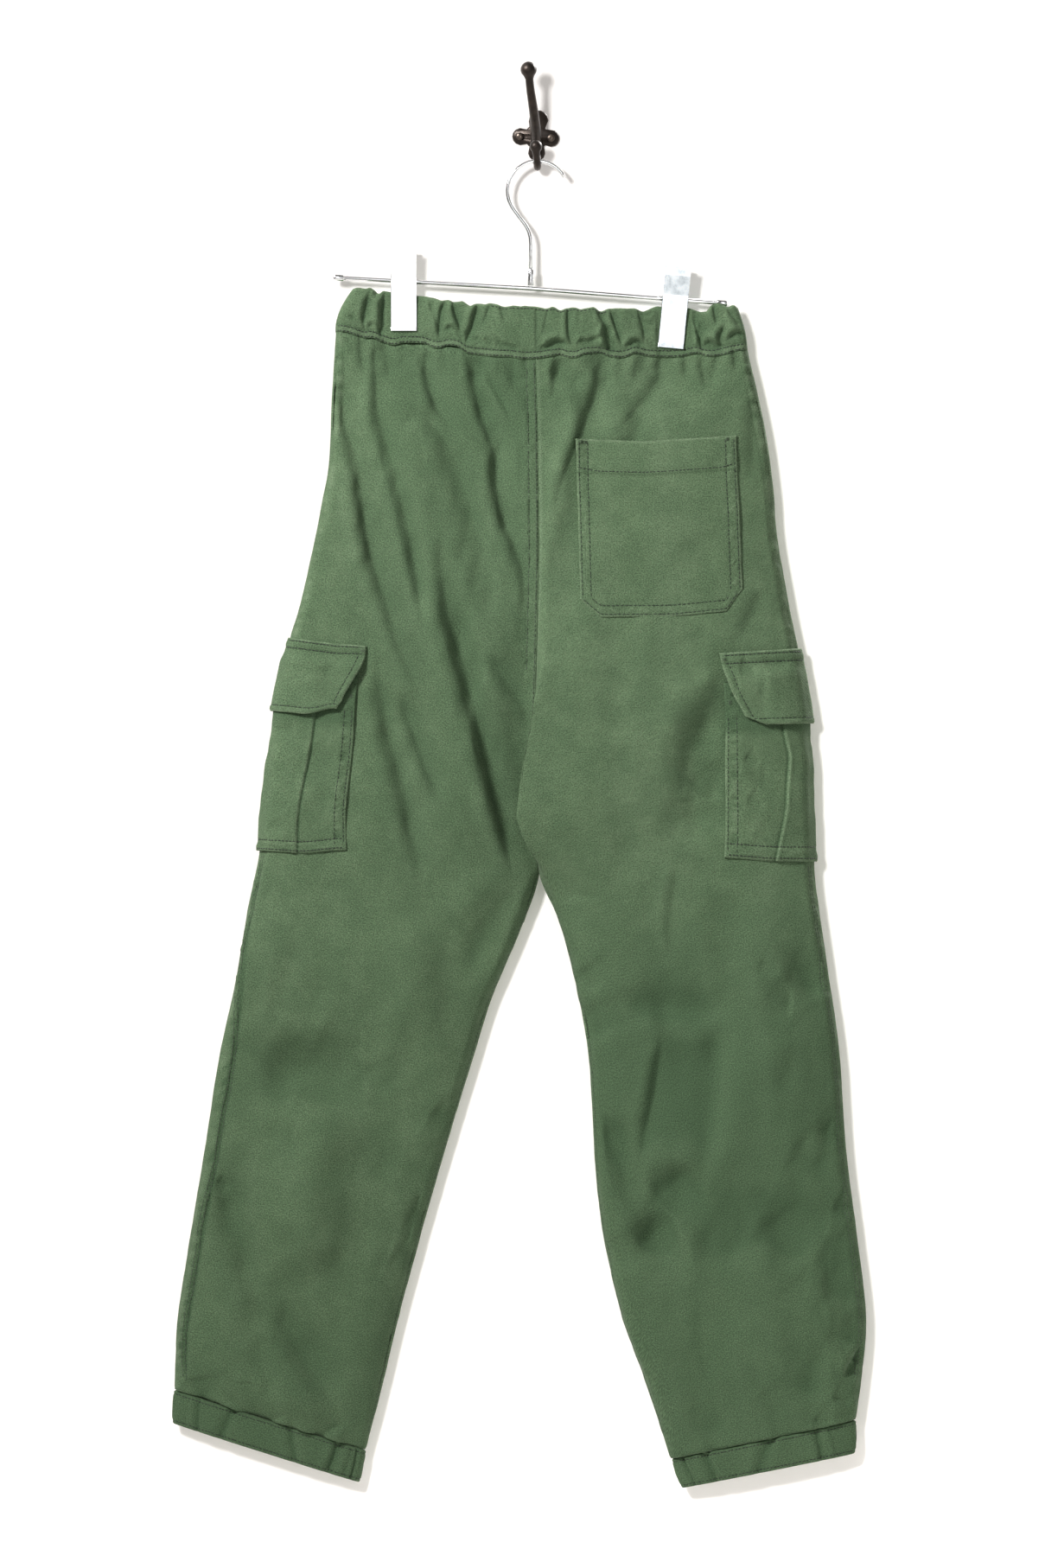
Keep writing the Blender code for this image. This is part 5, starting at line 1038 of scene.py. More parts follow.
cuffs = dict(
    columns=288, rows=28, lining=10, depth=11.5, power=2.4, edgePower=0.85, cloth=2.2, gap=0.15, skirt=2.0,
    # tone is painted shade laid over the whole cuff
    tone=0.7, deepen=1.7,
    # corners at the top and the hem, outer one first; a fold is its angle, lean, depth and width
    left=dict(
        top=((-293.6, 877.8), (-138.6, 926.8)), hem=((-295.0, 905.1), (-143.8, 953.0)),
        seed=3, cut=(0.375, 0.060),
        folds=((2.22, 0.10, 1.7, 0.07), (2.62, 0.05, 1.2, 0.05),
               (1.35, 0.16, 1.5, 0.07), (1.02, -0.05, 1.3, 0.06),
               (0.72, 0.1, 1.2, 0.06), (1.85, -0.1, 1.0, 0.06), (4.0, 0.1, 1.5, 0.07), (4.5, -0.1, 1.2, 0.06),
               (5.1, 0.12, 1.4, 0.07), (5.5, 0.0, 1.1, 0.05), (3.6, 0.08, 1.1, 0.05))),
    right=dict(
        top=((259.0, 902.3), (109.2, 933.8)), hem=((257.6, 929.6), (117.6, 957.6)),
        seed=4, cut=(0.345, 0.060),
        folds=((2.30, -0.16, 1.6, 0.07), (2.02, -0.18, 1.5, 0.06),
               (1.78, -0.22, 1.4, 0.06), (1.45, -0.2, 1.2, 0.06),
               (0.62, -0.08, 2.0, 0.06), (0.42, -0.08, 1.4, 0.05),
               (1.12, 0.05, 1.0, 0.05), (4.1, 0.1, 1.5, 0.07),
               (4.7, -0.12, 1.3, 0.06), (5.3, 0.1, 1.4, 0.07), (3.7, 0.1, 1.2, 0.05))),
)


def closeRing(piece):
    # joins the ends of a ring, and turns its faces out
    ring = bmesh.new()
    ring.from_mesh(piece.data)
    bmesh.ops.remove_doubles(ring, verts=ring.verts, dist=2 * weld)
    bmesh.ops.recalc_face_normals(ring, faces=ring.faces)
    ring.to_mesh(piece.data)
    ring.free()
    piece.data.shade_smooth()


def buildCuff(leg):
    shape = cuffs[leg]
    angle = np.linspace(0, 2 * np.pi, cuffs["columns"] + 1)[None, :]
    down = np.linspace(0, 1, cuffs["rows"] + 1)[:, None]
    share = 0.5 - 0.5 * np.sign(np.cos(angle)) * np.abs(np.cos(angle)) ** cuffs["edgePower"]
    roundness = np.sign(np.sin(angle)) * np.abs(np.sin(angle)) ** (2 / cuffs["power"])
    top, hem = np.array(shape["top"]), np.array(shape["hem"])
    outer, inner = (between((top[n], hem[n]), down[..., None]) for n in (0, 1))
    flat = between((outer, inner), share[..., None])
    centre = 0.5 * (outer + inner)
    halfWidth = 0.5 * np.linalg.norm(inner - outer, axis=-1)
    tall = np.linalg.norm(hem - top, axis=-1).mean()
    fromTop, fromHem = down * tall, (1 - down) * tall
    relief = np.zeros_like(flat[..., 0])
    for place, lean, depth, width in shape["folds"]:
        away = np.abs(angle - place - lean * (down - 0.5)) / width
        relief -= cuffs["deepen"] * depth * (np.exp(-1.6 * away ** 1.6) - 0.35 * bell(away - 1.7, 1.0))
    around = angle * halfWidth
    relief += 0.55 * softNoise(around, down * 9.0, 7.5, 50 + shape["seed"])
    relief += 0.22 * softNoise(around, down * 12.0, 3.2, 60 + shape["seed"])
    relief += 0.7 * np.sin(np.pi * down) ** 0.7
    relief -= lines(fromTop, ((3.2, 0.5, 0.8), (0.0, 1.4, 1.0)))
    relief -= lines(fromHem, ((2.6, 0.5, 0.8), (0.0, 0.6, 0.9)))

    def ring(inset, wave):
        at = centre + (flat - centre) * (1 + (wave - inset) / halfWidth)[..., None]
        y = midY + cuffs["depth"] * roundness * (1 + (wave - inset) / cuffs["depth"])
        return np.stack((at[..., 0], y, waistTop - at[..., 1]), axis=-1)

    skin = ring(0.0, relief)
    lining = ring(cuffs["cloth"], 0.0 * relief)[::-(cuffs["rows"] // cuffs["lining"])]
    skin[0, :, 2] -= cuffs["gap"]
    middle = np.stack((centre[..., 0], midY + 0 * down, waistTop - centre[..., 1]), axis=-1)
    normals = normalsFrom(skin, middle)
    sewn["cuff_" + leg] = skin, normals
    points = np.concatenate((skin[:1] - cuffs["skirt"] * normals[:1], skin, lining))
    weave = np.stack((arcAcross(points), arcDown(points)), axis=-1)
    bare = np.zeros((len(lining), lining.shape[1]))
    # painted shade: darker in the folds' troughs, and the whole cuff darker where light falls off towards the
    # hems
    shadeAndSeams = np.clip(-relief / 2.5, 0, 0.6) + cuffs["tone"]
    worn = 0.4 * bell(fromHem, 1.3) * (0.5 + 0.5 * softNoise(around, 0 * down, 5.0, 71))
    marks = toneMarks(*(np.concatenate((values[:1], values, bare)) for values in (worn, shadeAndSeams)))
    piece = gridMesh("cuff_%s_cloth" % leg, points, weave, marks)
    closeRing(piece)
    finishCloth(piece, "cuff_" + leg, shape["cut"], "gathered",
                ["panel_back_" + leg, "panel_front_" + leg])


for leg in legs:
    buildCuff(leg)
print("cuffs")


# ---- back patch pocket

pocket = dict(
    left=((107.8, 32.2), (134.4, 32.2), (185.0, 33.6), (238.0, 35.0)),      # drop, x
    right=((104.8, 161.7), (134.0, 162.4), (160.0, 163.8), (228.9, 166.6)),
    mouth=((0.0, 107.8), (0.42, 109.9), (1.0, 104.8)),      # share across, drop
    bottom=((0.0, 238.0), (0.13, 252.4), (0.58, 251.8), (0.9, 247.5), (1.0, 228.9)),
    hem=27.0, cloth=1.2, hemCloth=0.9, puff=1.6, clear=0.6, turnedIn=2.8, rows=132, columns=120,
    threadRows=(2.2, 9.2),
    creases=((5, 0.5, 0.4, ((74, 120), (76, 134), (73, 146))),
             (7, 0.6, 0.3, ((50, 160), (72, 170), (96, 166))),
             (9, 0.7, 0.3, ((120, 186), (132, 206), (150, 214))),
             (6, 0.5, 0.3, ((48, 214), (60, 226), (78, 232))),
             (5, 0.5, 0.4, ((152, 118), (146, 128), (136, 134)))),
)


def panelSurface(node):
    points = basePanels[node]
    rows, columns = points.shape[:2]
    index = np.arange(rows * columns).reshape(rows, columns)
    quads = np.stack((index[:-1, :-1], index[:-1, 1:], index[1:, 1:], index[1:, :-1]), axis=-1).reshape(-1, 4)
    return BVHTree.FromPolygons(points.reshape(-1, 3).tolist(), quads.tolist())


def depthAt(surface, x, z, side):
    depth = np.zeros_like(x)
    for place in np.ndindex(x.shape):
        hit = surface.ray_cast(Vector((x[place], side * 400.0, z[place])), Vector((0, -side, 0)))
        depth[place] = hit[0].y if hit[0] else np.nan
    return depth


def buildPocket():
    down = np.linspace(0, 1, pocket["rows"] + 1)[:, None]
    across = np.linspace(0, 1, pocket["columns"] + 1)[None, :]
    left, right = (readTable(pairs, between((pairs[0][0], pairs[-1][0]), down))
                   for pairs in (pocket["left"], pocket["right"]))
    x = between((left, right), across)
    mouth, bottom = readTable(pocket["mouth"], across), readTable(pocket["bottom"], across)
    drop = between((mouth, bottom), down)
    x = x + 0.35 * softNoise(0 * x, drop, 14.0, 80) * (np.abs(across - 0.5) * 2) ** 8
    y = depthAt(panelSurface("panel_back_right"), x, waistTop - drop, -1)
    puff = pocket["puff"] * np.sin(np.pi * across) ** 0.7 * np.sin(np.pi * down ** 0.8) ** 0.8
    fromMouth = drop - mouth
    edge = np.minimum(np.minimum(x - left, right - x), bottom - drop)
    hem = pocket["hemCloth"] * (1 - ease((fromMouth - pocket["hem"]) / 1.2))
    wave = lumps(x + drop, x - drop, ((1.0, 2.8, 83), (0.5, 8.0, 84)))
    relief = creaseRelief(x, drop, pocket["creases"]) + lumps(x, drop, ((0.35, 30.0, 81), (0.10, 8.0, 82)))
    relief += 0.45 * wave * bell(edge - 5.5, 4.0)
    relief += 0.25 * softNoise(x, 0 * x, 12.0, 85) * bell(fromMouth, 14.0)
    relief -= lines(edge, [(row, 0.28, 0.8) for row in pocket["threadRows"]])
    relief -= 0.30 * bell(fromMouth - pocket["hem"] + 2.6, 0.9) + 0.5 * bell(np.minimum(edge, fromMouth), 0.9)
    y = y - (pocket["clear"] + puff + pocket["cloth"] + hem + relief)
    points = np.stack((x, y, waistTop - drop), axis=-1)
    normals = outwardNormals(points, -1)
    sewn["pocket_back"] = points, normals
    worn = 0.8 * bell(np.minimum(edge, fromMouth) - 0.5, 1.0)
    worn += 0.4 * bell(edge - 5.5, 3.0) * np.clip(wave, 0, 1)
    worn *= 0.65 + 0.35 * softNoise(x, drop, 5.0, 86)
    # painted shade in the grooves of the sewn rows and along the hem's fold
    shadeAndSeams = lines(edge, ((9.2, 0.3, 0.8), (2.2, 0.35, 0.8))) + 0.3 * bell(fromMouth - pocket["hem"], 1.0)
    weave = np.stack((x, drop), axis=-1)
    marks = toneMarks(worn, shadeAndSeams)
    piece = gridMesh("pocket_back_cloth", *turnIn(points, weave, marks, normals, pocket["turnedIn"]))
    finishCloth(piece, "pocket_back", (0.150, 0.180), "laid", ["panel_back_right"])


buildPocket()
print("back pocket")


# ---- cargo pockets: bags with a box pleat, and their flaps, round the side seams

cargo = dict(
    half=76.0, bagCloth=1.4, pleatHalf=31.0, pleatRise=1.7, clear=0.5, belly=1.2, bellyEdge=14.0,
    tuckHalf=15.0, bagRows=132, bagArcs=200, turnedIn=2.4,
    flapHalf=(77.0, 57.0), flapCloth=1.8, flapShade=16.0, stitched=0.17, over=0.36, bend=(15.0, 13.0),
    rise=1.6, flare=1.8, flapRows=72, flapArcs=130,
    left=dict(      # drops of the flap and the bag, then how far their rear edges are drawn in and lifted
        flap=(268.5, 327.8), bag=(294.0, 441.0), tuck=2.2, chamfer=3.0, seed=2,
        drawn=(9.8, -1.4), lifted=(1.0, 4.9), flapDrawn=(9.0, 0.5), flapLifted=(1.5, 7.0),
        pleat=((0, -5.0), (0.4, -6.2), (0.7, -5.0), (1, -5.6)),
        creases=((5, 0.9, 0.4, ((-3, 53), (-14, 50), (-25, 52))),
                 (5, 0.9, 0.4, ((-14, 118), (-22, 124), (-29, 131))),
                 (6, 0.7, 0.3, ((-38, 60), (-52, 72), (-66, 70))),
                 (6, 0.7, 0.3, ((-40, 112), (-54, 104), (-68, 108))),
                 (6, 0.8, 0.3, ((10, 60), (22, 76), (40, 80))),
                 (6, 0.8, 0.3, ((30, 118), (46, 108), (62, 112)))),
        flapCreases=((5, 0.6, 0.3, ((-50, 20), (-30, 24), (-14, 20))),
                     (5, 0.6, 0.3, ((12, 22), (34, 30), (52, 26))))),
    right=dict(
        flap=(277.2, 338.0), bag=(303.0, 450.0), tuck=4.0, chamfer=15.0, seed=5,
        drawn=(4.7, -4.4), lifted=(0.0, 2.4), flapDrawn=(6.6, 6.6), flapLifted=(0.0, 0.0),
        pleat=((0, 3.0), (0.25, 3.7), (0.5, 7.0), (0.75, 1.5), (1, -7.7)),
        creases=((4, 0.8, 0.4, ((-62, 72), (-54, 75), (-46, 74))),
                 (4, 0.9, 0.4, ((-61, 83), (-44, 93), (-20, 102))),
                 (4, 0.9, 0.4, ((-60, 102), (-52, 106), (-44, 104))),
                 (5, 0.8, 0.3, ((-56, 128), (-46, 132), (-38, 130))),
                 (6, 0.8, 0.3, ((12, 64), (26, 78), (42, 76))),
                 (6, 0.8, 0.3, ((28, 112), (44, 118), (60, 110)))),
        flapCreases=((5, 1.0, 0.4, ((-63, 14), (-52, 18), (-42, 16))),
                     (4, 0.8, 0.4, ((-38, 9), (-26, 11), (-14, 9))),
                     (5, 0.6, 0.3, ((12, 24), (34, 28), (52, 22))))),
)


def legLoop(leg, share):
    # the line round a leg at that share of its height, with distances from the side seam and what points out
    halves = []
    for face in faces:
        grid = basePanels["panel_%s_%s" % (face, leg)]
        place = share * (len(grid) - 1)
        step = min(int(place), len(grid) - 2)
        line = between(grid[step:step + 2], place - step)
        halves.append(line[:len(line) * 2 // 3])
    line = np.concatenate((halves[0][::-1], halves[1]))
    along = np.concatenate(([0.0], np.cumsum(np.linalg.norm(np.diff(line[:, :2], axis=0), axis=1))))
    along -= 0.5 * (along[len(halves[0]) - 1] + along[len(halves[0])])
    fine = np.linspace(along[0], along[-1], 400)
    path = np.stack([np.interp(fine, along, line[:, n]) for n in range(3)], axis=1)
    window = np.hanning(19)
    window /= window.sum()
    tangent = np.pad(np.gradient(path[:, :2], axis=0), ((9, 9), (0, 0)), mode="edge")
    tangent = np.stack([np.convolve(tangent[:, n], window, "valid") for n in range(2)], axis=1)
    tangent /= np.linalg.norm(tangent, axis=1, keepdims=True)
    outward = np.stack((-tangent[:, 1], tangent[:, 0], 0 * fine), axis=1)
    if outward[len(fine) // 2, 0] * (1 if leg == "left" else -1) > 0:
        outward = -outward
    return fine, path, outward


def roundLeg(leg, arc, share, lift):
    points, normals = np.zeros(arc.shape + (3,)), np.zeros(arc.shape + (3,))
    for row in range(len(arc)):
        fine, path, outward = legLoop(leg, share[row])
        for n in range(3):
            points[row, :, n] = np.interp(arc[row], fine, path[:, n])
            normals[row, :, n] = np.interp(arc[row], fine, outward[:, n])
    return points + normals * lift[..., None]


def seamShare(leg, drop):
    column = basePanels["panel_back_" + leg][:, 0, 2]
    return np.interp(drop, waistTop - column, np.linspace(0, 1, len(column)))


def finishLaid(node, leg, points, arc, drop, marks, flat):
    middle = np.array((points[..., 0].mean() * 0.55, midY, points[..., 2].mean()))
    normals = normalsFrom(points, middle, (1, 1, 0))
    sewn[node] = points, normals
    weave = np.stack((arc, drop), axis=-1)
    turned = turnIn(points, weave, marks, normals, cargo["turnedIn"])
    piece = gridMesh(node + "_cloth", *turned, middle, (1, 1, 0))
    finishCloth(piece, node, flat, "laid", ["panel_back_" + leg, "panel_front_" + leg])


def buildBag(leg):
    shape = cargo[leg]
    top, bottom = shape["bag"]
    shares = seamShare(leg, np.array((top, bottom)))
    height = np.linspace(0, 1, cargo["bagRows"] + 1)
    arc, high = np.meshgrid(np.linspace(-cargo["half"], cargo["half"], cargo["bagArcs"]), height)
    down = high * (bottom - top)
    bend = alongCurve(readTable(shape["pleat"], np.linspace(0, 1, 9)), height)[:, None]
    foldEdge = np.abs(arc - bend) - cargo["pleatHalf"]
    raised = 1 - ease(foldEdge / 1.0 + 0.5)
    full = np.sin(np.pi * high)
    sides = cargo["half"] - np.abs(arc)
    edge = np.minimum(sides, bottom - top - down)
    wave = softNoise(down + arc * 0.1, sides * 0.3, 2.6, 94) + 0.3 * softNoise(down, 0 * arc, 8.0, 95)
    relief = creaseRelief(arc, down, shape["creases"], 1.7) * (0.3 + 0.7 * full)
    relief += lumps(arc, down, ((1.1, 26.0, 92 + shape["seed"]), (0.35, 9.0, 93)))
    relief += lines(foldEdge, ((-2.0, 0.5, 1.6), (0.9, -0.35, 1.0)))
    relief += 0.8 * wave * bell(edge - 7.0, 4.0) * ease(edge / 1.2)
    relief -= lines(edge, ((2.4, 0.25, 0.8), (0.0, 0.9, 1.1))) + 0.25 * bell(bottom - top - down - 11.0, 0.8)
    lift = cargo["clear"] + cargo["belly"] * full * ease(sides / cargo["bellyEdge"]) + cargo["bagCloth"]
    lift = lift + cargo["pleatRise"] * raised * (0.55 + 0.45 * full) + relief
    lift = lift - shape["tuck"] * full * bell(arc, cargo["tuckHalf"])
    back = ease((-arc - 0.5 * cargo["half"]) / (0.5 * cargo["half"]))
    points = roundLeg(leg, arc + between(shape["drawn"], high) * back, between(shares, height), lift)
    points[..., 2] += back * between(shape["lifted"], high)
    worn = 0.75 * bell(foldEdge + 0.5, 0.7) + 0.8 * bell(edge - 0.5, 0.8)
    worn += 0.5 * bell(edge - 7.5, 3.0) * np.clip(wave, 0, 1)
    worn *= 0.65 + 0.35 * softNoise(arc, down, 5.0, 96)
    # painted shade beside the pleat's folded edge, in creases and between puckers, and a painted shadow under
    # the flap
    shadeAndSeams = 0.9 * bell(foldEdge - 1.0, 0.9) + np.clip(-relief / 4, 0, 0.4)
    shadeAndSeams += 0.5 * bell(edge - 7.5, 3.0) * np.clip(-wave, 0, 1)
    shadeAndSeams += 0.9 * (1 - ease((down - (shape["flap"][1] - top)) / cargo["flapShade"]))
    finishLaid("cargo_bag_" + leg, leg, points, arc, down, toneMarks(worn, shadeAndSeams), (0.205, 0.170))


def buildFlap(leg):
    shape = cargo[leg]
    top, bottom = shape["flap"]
    shares = seamShare(leg, np.array((top, bottom)))
    high = np.linspace(0, 1, cargo["flapRows"] + 1)[:, None]
    free = high - cargo["stitched"]
    half = between(cargo["flapHalf"], ease(free / (1 - cargo["stitched"])) ** 0.8)
    half = half + shape["chamfer"] * (0.4 * ease(free / 0.5) - np.clip((high - 0.86) / 0.14, 0, 1))
    across = np.linspace(-1, 1, cargo["flapArcs"] + 1)[None, :]
    arc = half * across
    down = high * (bottom - top) + 0 * arc
    over = ease(free / (cargo["over"] - cargo["stitched"]))
    middle = ease((cargo["pleatHalf"] + cargo["bend"][0] - np.abs(arc)) / cargo["bend"][1])
    edge = np.minimum(half - np.abs(arc), bottom - top - down)
    wave = softNoise(arc + down, arc - down, 5.0, 102)
    relief = creaseRelief(arc, down, shape["flapCreases"], 1.5)
    relief += lumps(arc, down, ((0.8, 24.0, 100 + shape["seed"]), (0.25, 8.0, 101)))
    relief += 0.35 * wave * bell(edge - 5.0, 4.0)
    relief += 0.25 * ease((edge - 0.5) / 1.5) * (1 - ease((edge - 4.6) / 1.2))
    relief -= lines(edge, ((6.0, 0.3, 0.8), (0.0, 0.6, 1.0)))
    relief -= lines(down, ((2.4, 0.3, 0.8), (9.0, 0.3, 0.8), (5.6, -0.3, 1.8), (0.0, 0.6, 1.0)))
    lift = cargo["clear"] + over * (cargo["bagCloth"] + cargo["rise"] + cargo["pleatRise"] * middle
                                    + cargo["flare"] * high ** 2) + cargo["flapCloth"]
    lift = lift - shape["tuck"] * over * bell(arc, cargo["tuckHalf"]) + relief
    back = ease(-2 * across - 1) + 0 * arc
    points = roundLeg(leg, arc + between(shape["flapDrawn"], high) * back, between(shares, high[:, 0]), lift)
    points[..., 2] += back * between(shape["flapLifted"], high)
    worn = 0.9 * bell(np.minimum(edge, down) - 0.5, 0.9) * (0.65 + 0.35 * softNoise(arc, down, 5.0, 103))
    worn += 0.25 * bell(edge - 3.4, 1.6) * np.clip(softNoise(arc, down, 3.5, 104), 0, 1)
    # painted shade in the creases' troughs and along the sewn rows
    shadeAndSeams = 0.35 * bell(edge - 6.0, 0.8) + np.clip(-relief / 4, 0, 0.4)
    shadeAndSeams += lines(down, ((2.4, 0.5, 0.9), (9.0, 0.5, 0.9)))
    finishLaid("cargo_flap_" + leg, leg, points, arc, down, toneMarks(worn, shadeAndSeams), (0.170, 0.070))


for leg in legs:
    buildBag(leg)
    buildFlap(leg)
print("cargo pockets")


# ---- rows of stitches

stitch = dict(length=2.9, width=0.95, height=0.6, pitch=3.6, raised=0.10, uneven=(0.12, 0.08), samples=400)


class Stitches:
    # collects stitches from rows that run over the sheets, then makes them as one mesh
    def __init__(self):
        self.rows = []

    def along(self, node, rows, columns,
              pitch=stitch["pitch"], length=stitch["length"], width=stitch["width"]):
        # rows and columns are the places of the line on the sheet's grid, as shares
        points, normals = sewn[node]
        last = len(points) - 1, points.shape[1] - 1
        share = np.linspace(0, 1, stitch["samples"])
        r, c = (readTable(list(zip(np.linspace(0, 1, len(places)), places)), share) * last[n]
                for n, places in enumerate((rows, columns)))
        i, j = np.minimum(r.astype(int), last[0] - 1), np.minimum(c.astype(int), last[1] - 1)
        u, v = (r - i)[:, None], (c - j)[:, None]

        def read(grid):
            ends = [between((grid[i, k], grid[i + 1, k]), u) for k in (j, j + 1)]
            return between(ends, v)
        path, normal = read(points), read(normals)
        travelled = np.concatenate(([0.0], np.cumsum(np.linalg.norm(np.diff(path, axis=0), axis=1))))
        count = int(travelled[-1] / pitch)
        if count < 1:
            return
        rng = np.random.default_rng(len(self.rows) + 5)
        middle = (np.arange(count) + 0.5) * pitch + rng.uniform(-1, 1, count) * stitch["uneven"][0] * pitch

        def at(places, values):
            return np.stack([np.interp(places, travelled, values[:, n]) for n in range(3)], axis=1)
        ends = [at(middle + k * length / 2, path) for k in (-1, 1)]
        up = at(middle, normal)
        up /= np.linalg.norm(up, axis=1, keepdims=True)
        forward = ends[1] - ends[0]
        forward /= np.linalg.norm(forward, axis=1, keepdims=True) + 1e-9
        across = np.cross(up, forward)
        centre = 0.5 * (ends[0] + ends[1]) + up * stitch["raised"]
        centre += across * rng.uniform(-1, 1, count)[:, None] * stitch["uneven"][1]
        size = np.array((length, width, stitch["height"])) / 2
        self.rows.append(np.stack((forward * size[0], across * size[1], up * size[2], centre), axis=1))

    def build(self, name, material):
        template = bmesh.new()
        bmesh.ops.create_uvsphere(template, u_segments=6, v_segments=4, radius=1.0)
        template.transform(Matrix.Rotation(math.radians(90), 4, "Y"))
        bmesh.ops.triangulate(template, faces=template.faces)
        corners = np.array([vert.co for vert in template.verts])
        around = np.array([[vert.index for vert in face.verts] for face in template.faces])
        template.free()
        places = np.concatenate(self.rows)
        points = np.einsum("vk,skd->svd", corners, places[:, :3]) + places[:, 3:4]
        every = around[None] + np.arange(len(places))[:, None, None] * len(corners)
        data = bpy.data.meshes.new(name)
        data.from_pydata(toMetres(points.reshape(-1, 3)).tolist(), [], every.reshape(-1, 3).tolist())
        data.shade_smooth()
        finishPiece(addPiece(name, data), [], "olive_twill", material)
        return len(places)


dark = {face: Stitches() for face in faces}
soft = {face: Stitches() for face in faces}


def fromEdge(node, gap, first, last, inner=False, samples=60):
    # places on a panel at that distance from its side seam, or from its inner edge, between two drops
    points = sewn[node][0]
    arcs = arcAcross(points)
    drop = waistTop - points[:, -1 if inner else 0, 2]
    rows = np.interp(np.linspace(first, last, samples), drop, np.arange(len(drop)))
    columns = []
    for row, near in zip(rows, np.broadcast_to(gap, samples)):
        line = arcs[int(row)]
        columns.append(np.interp(line[-1] - near if inner else near, line, np.arange(len(line))))
    return rows / (len(points) - 1), np.array(columns) / (points.shape[1] - 1)


def straight(thread, node, row, columns, **stitching):
    thread.along(node, [row, row], columns, **stitching)


long = dict(pitch=3.0, length=2.5)
for face in faces:
    for height, ends in ((0.135, (0.004, 0.996)), (0.03, (0.004, 0.996)), (0.955, (0.36, 0.66))):
        straight(dark[face], "waistband_" + face, height, ends, width=1.0, **long)
    for leg in legs:
        node, start = "panel_%s_%s" % (face, leg), cargo[leg]["bag"][1] + 3
        seamLine = 8.6
        if node == "panel_back_left":
            seamLine = readTable(panel["rolledSeam"], np.linspace(start, 868, 60))
        for gap in (-2.0, 1.0):
            soft[face].along(node, *fromEdge(node, seamLine + gap, start, 868))
        soft[face].along(node, *fromEdge(node, 3.0, 470, 915, inner=True))
for gap, last in ((2.0, 330), (8.4, 300)):
    soft["back"].along("panel_back_left", *fromEdge("panel_back_left", gap, 46, last, inner=True))
    soft["front"].along("panel_front_left", *fromEdge("panel_front_left", gap, 46, 440, inner=True))
for leg in legs:
    for height in (0.115, 0.905):
        for face, ends in (("back", (0.01, 0.49)), ("front", (0.51, 0.99))):
            straight(dark[face], "cuff_" + leg, height, ends, pitch=3.0, length=2.3)

# the back pocket: two rows round its sides and bottom, one along the hem
for gap in pocket["threadRows"]:
    across, down = gap / 131.0, gap / 142.0
    for column in (across, 1 - across):
        dark["back"].along("pocket_back", [0.02, 1 - down], [column, column], width=0.8)
    straight(dark["back"], "pocket_back", 1 - down, [across, 1 - across], width=0.8)
straight(dark["back"], "pocket_back", 0.178, [0.015, 0.985], width=1.0, **long)

for leg in legs:
    flap, bag = "cargo_flap_" + leg, "cargo_bag_" + leg
    for face, ends in (("back", (0.02, 0.5)), ("front", (0.5, 0.98))):
        for row in (2.4, 9.0):
            straight(dark[face], flap, row / 60, ends, pitch=3.0, length=2.6, width=1.15)
        straight(dark[face], flap, 1 - 6.0 / 60, ends, width=0.85)
        for row in (2.4, 11.0):
            straight(dark[face], bag, 1 - row / 147, ends, width=1.1, **long)
    dark["back"].along(flap, [0.18, 0.9], [0.045, 0.05], width=0.85)
    dark["front"].along(flap, [0.18, 0.9], [0.955, 0.95], width=0.85)
    for column in (2.4 / 152, 9.5 / 152):
        dark["back"].along(bag, [0.18, 0.98], [column, column], width=0.75)
        dark["front"].along(bag, [0.18, 0.98], [1 - column, 1 - column], width=0.75)

# bartacks: close rows of short stitches at the corners of the pockets
bartack = dict(rows=4, apart=0.7, half=3.6, length=3.4, width=0.6)
for node, place in (("pocket_back", (0.02, 0.045)), ("pocket_back", (0.02, 0.955)),
                    ("cargo_flap_left", (0.09, 0.03)), ("cargo_flap_right", (0.09, 0.03)),
                    ("cargo_bag_left", (0.10, 0.04)), ("cargo_bag_right", (0.10, 0.04))):
    points = sewn[node][0]
    size = arcDown(points)[-1].mean(), arcAcross(points)[:, -1].mean()
    ends = [place[1] - bartack["half"] / size[1], place[1] + bartack["half"] / size[1]]
    for n in range(bartack["rows"]):
        row = place[0] + (n - (bartack["rows"] - 1) / 2) * bartack["apart"] / size[0]
        straight(soft["back"], node, row, ends, length=bartack["length"], width=bartack["width"])
print("stitches", [dark[face].build("stitches_" + face, thread) for face in faces],
      [soft[face].build("seams_" + face, softThread) for face in faces])


# ---- metal

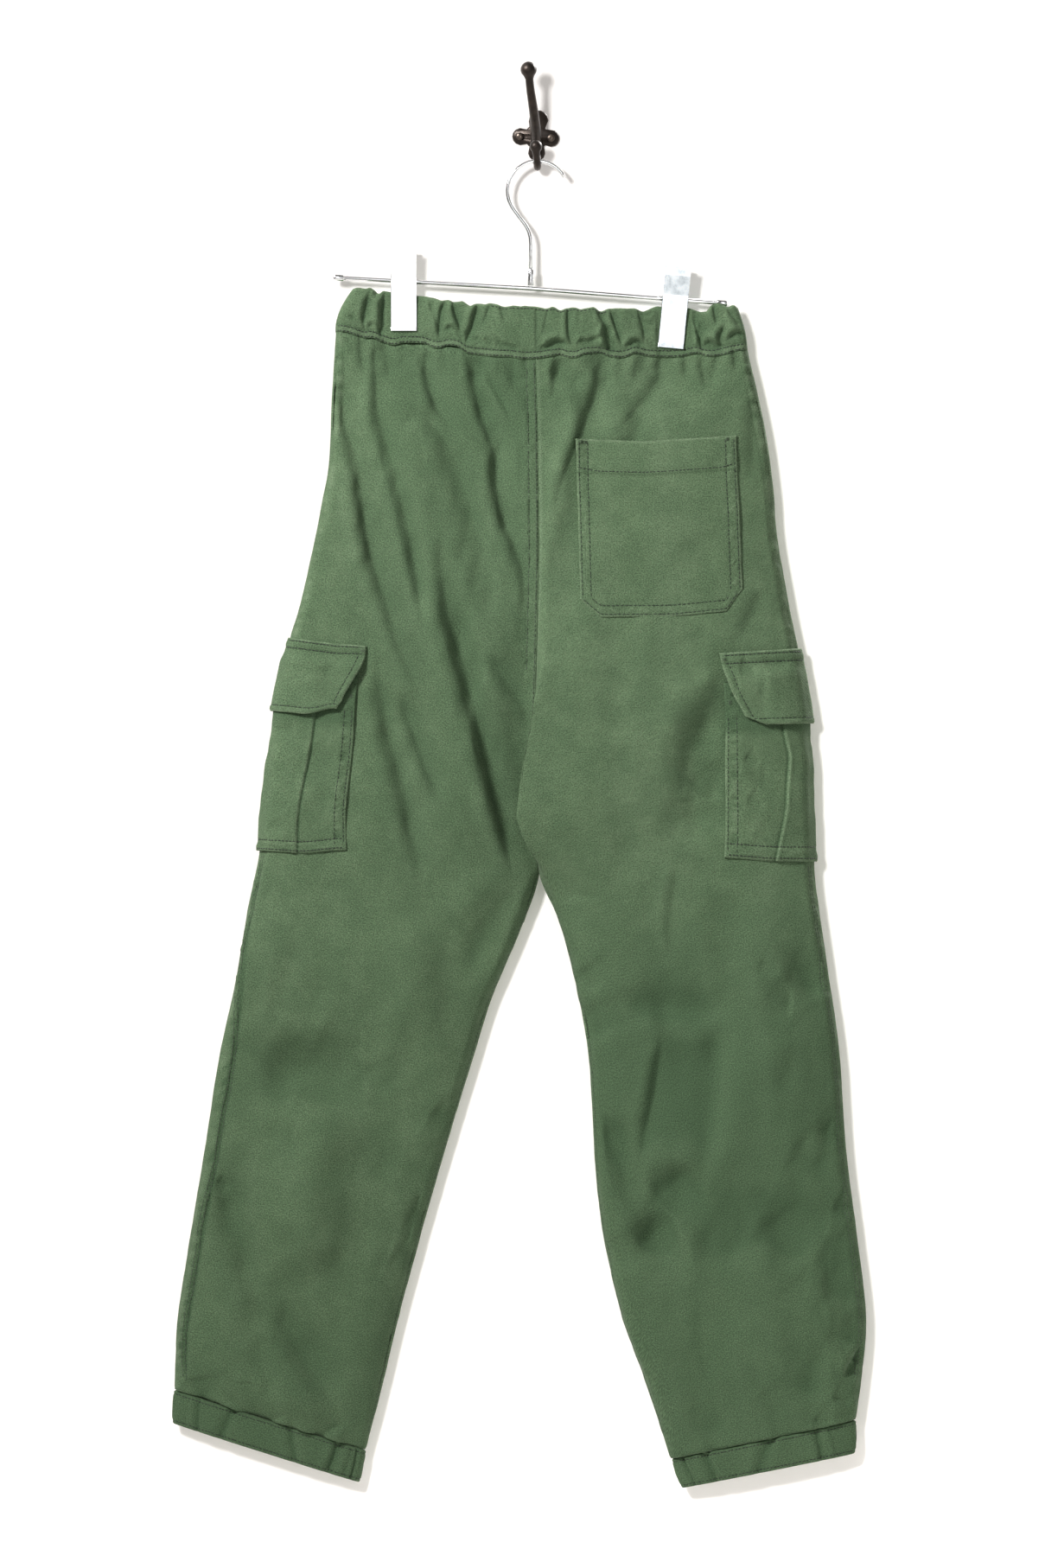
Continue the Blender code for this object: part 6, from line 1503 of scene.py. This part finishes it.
def metalMaterial(name, colour, other, rough, dents, metallic=1.0):
    finish = Finish(name)
    place = finish.place()
    clouds, smears = finish.noise(place, 160.0), finish.noise(place, 60.0, rough=0.6)
    finish.look(BaseColor=finish.mix(finish.span(clouds, 0.35, 0.7), colour, other),
                Roughness=finish.span(smears, 0.3, 0.75, *rough), Metallic=metallic,
                Normal=finish.bump(finish.noise(place, 420.0), 0.35, dents))
    return finish.material


chrome = metalMaterial("chrome", (0.93, 0.935, 0.94), (0.86, 0.87, 0.88), (0.08, 0.2), 0.01)
# the right clips' copy of the chrome is darker, painted shade for the grey reflections that they pick up
shadedChrome = metalMaterial("shaded chrome", (0.78, 0.83, 0.86), (0.46, 0.51, 0.54), (0.08, 0.2), 0.01)
iron = metalMaterial("cast iron", (0.040, 0.030, 0.024), (0.020, 0.016, 0.014), (0.34, 0.55), 0.25, 0.75)
steel = metalMaterial("screw steel", (0.16, 0.13, 0.11), (0.07, 0.055, 0.045), (0.3, 0.5), 0.08)
metalNodes = (
    ("hanger_chrome", chrome, ("hanger_hook", "hanger_ferrule", "hanger_rail", "hanger_cap_left",
                               "hanger_cap_right", "clip_left_back", "clip_left_front",
                               "clip_left_spring", "clip_right_spring")),
    ("hanger_chrome", shadedChrome, ("clip_right_back", "clip_right_front")),
    ("hook_iron", iron, ("wall_hook",)),
    ("screw_steel", steel, ("screw_left", "screw_right")),
)
sharpFrom = dict(clip=12.0, other=38.0)      # degrees past which a metal piece's edge stays sharp


def metalCopy(node, slotName, material):
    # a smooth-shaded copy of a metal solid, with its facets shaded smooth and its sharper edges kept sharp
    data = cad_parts[node].data.copy()
    solid = bmesh.new()
    solid.from_mesh(data)
    bmesh.ops.remove_doubles(solid, verts=solid.verts, dist=weld)
    bmesh.ops.recalc_face_normals(solid, faces=solid.faces)
    solid.to_mesh(data)
    solid.free()
    data.shade_smooth()
    data.set_sharp_from_angle(angle=math.radians(sharpFrom["clip" if "clip" in node else "other"]))
    finishPiece(addPiece(node + "_metal", data), [node], slotName, material)


for slotName, material, nodes in metalNodes:
    for node in nodes:
        metalCopy(node, slotName, material)
print("metal")

triangles = {piece.name: sum(len(polygon.vertices) - 2 for polygon in piece.data.polygons)
             for piece in scene.objects if piece.type == "MESH" and piece.visible_get()}
print("triangles", sum(triangles.values()), max(triangles.items(), key=lambda item: item[1]))
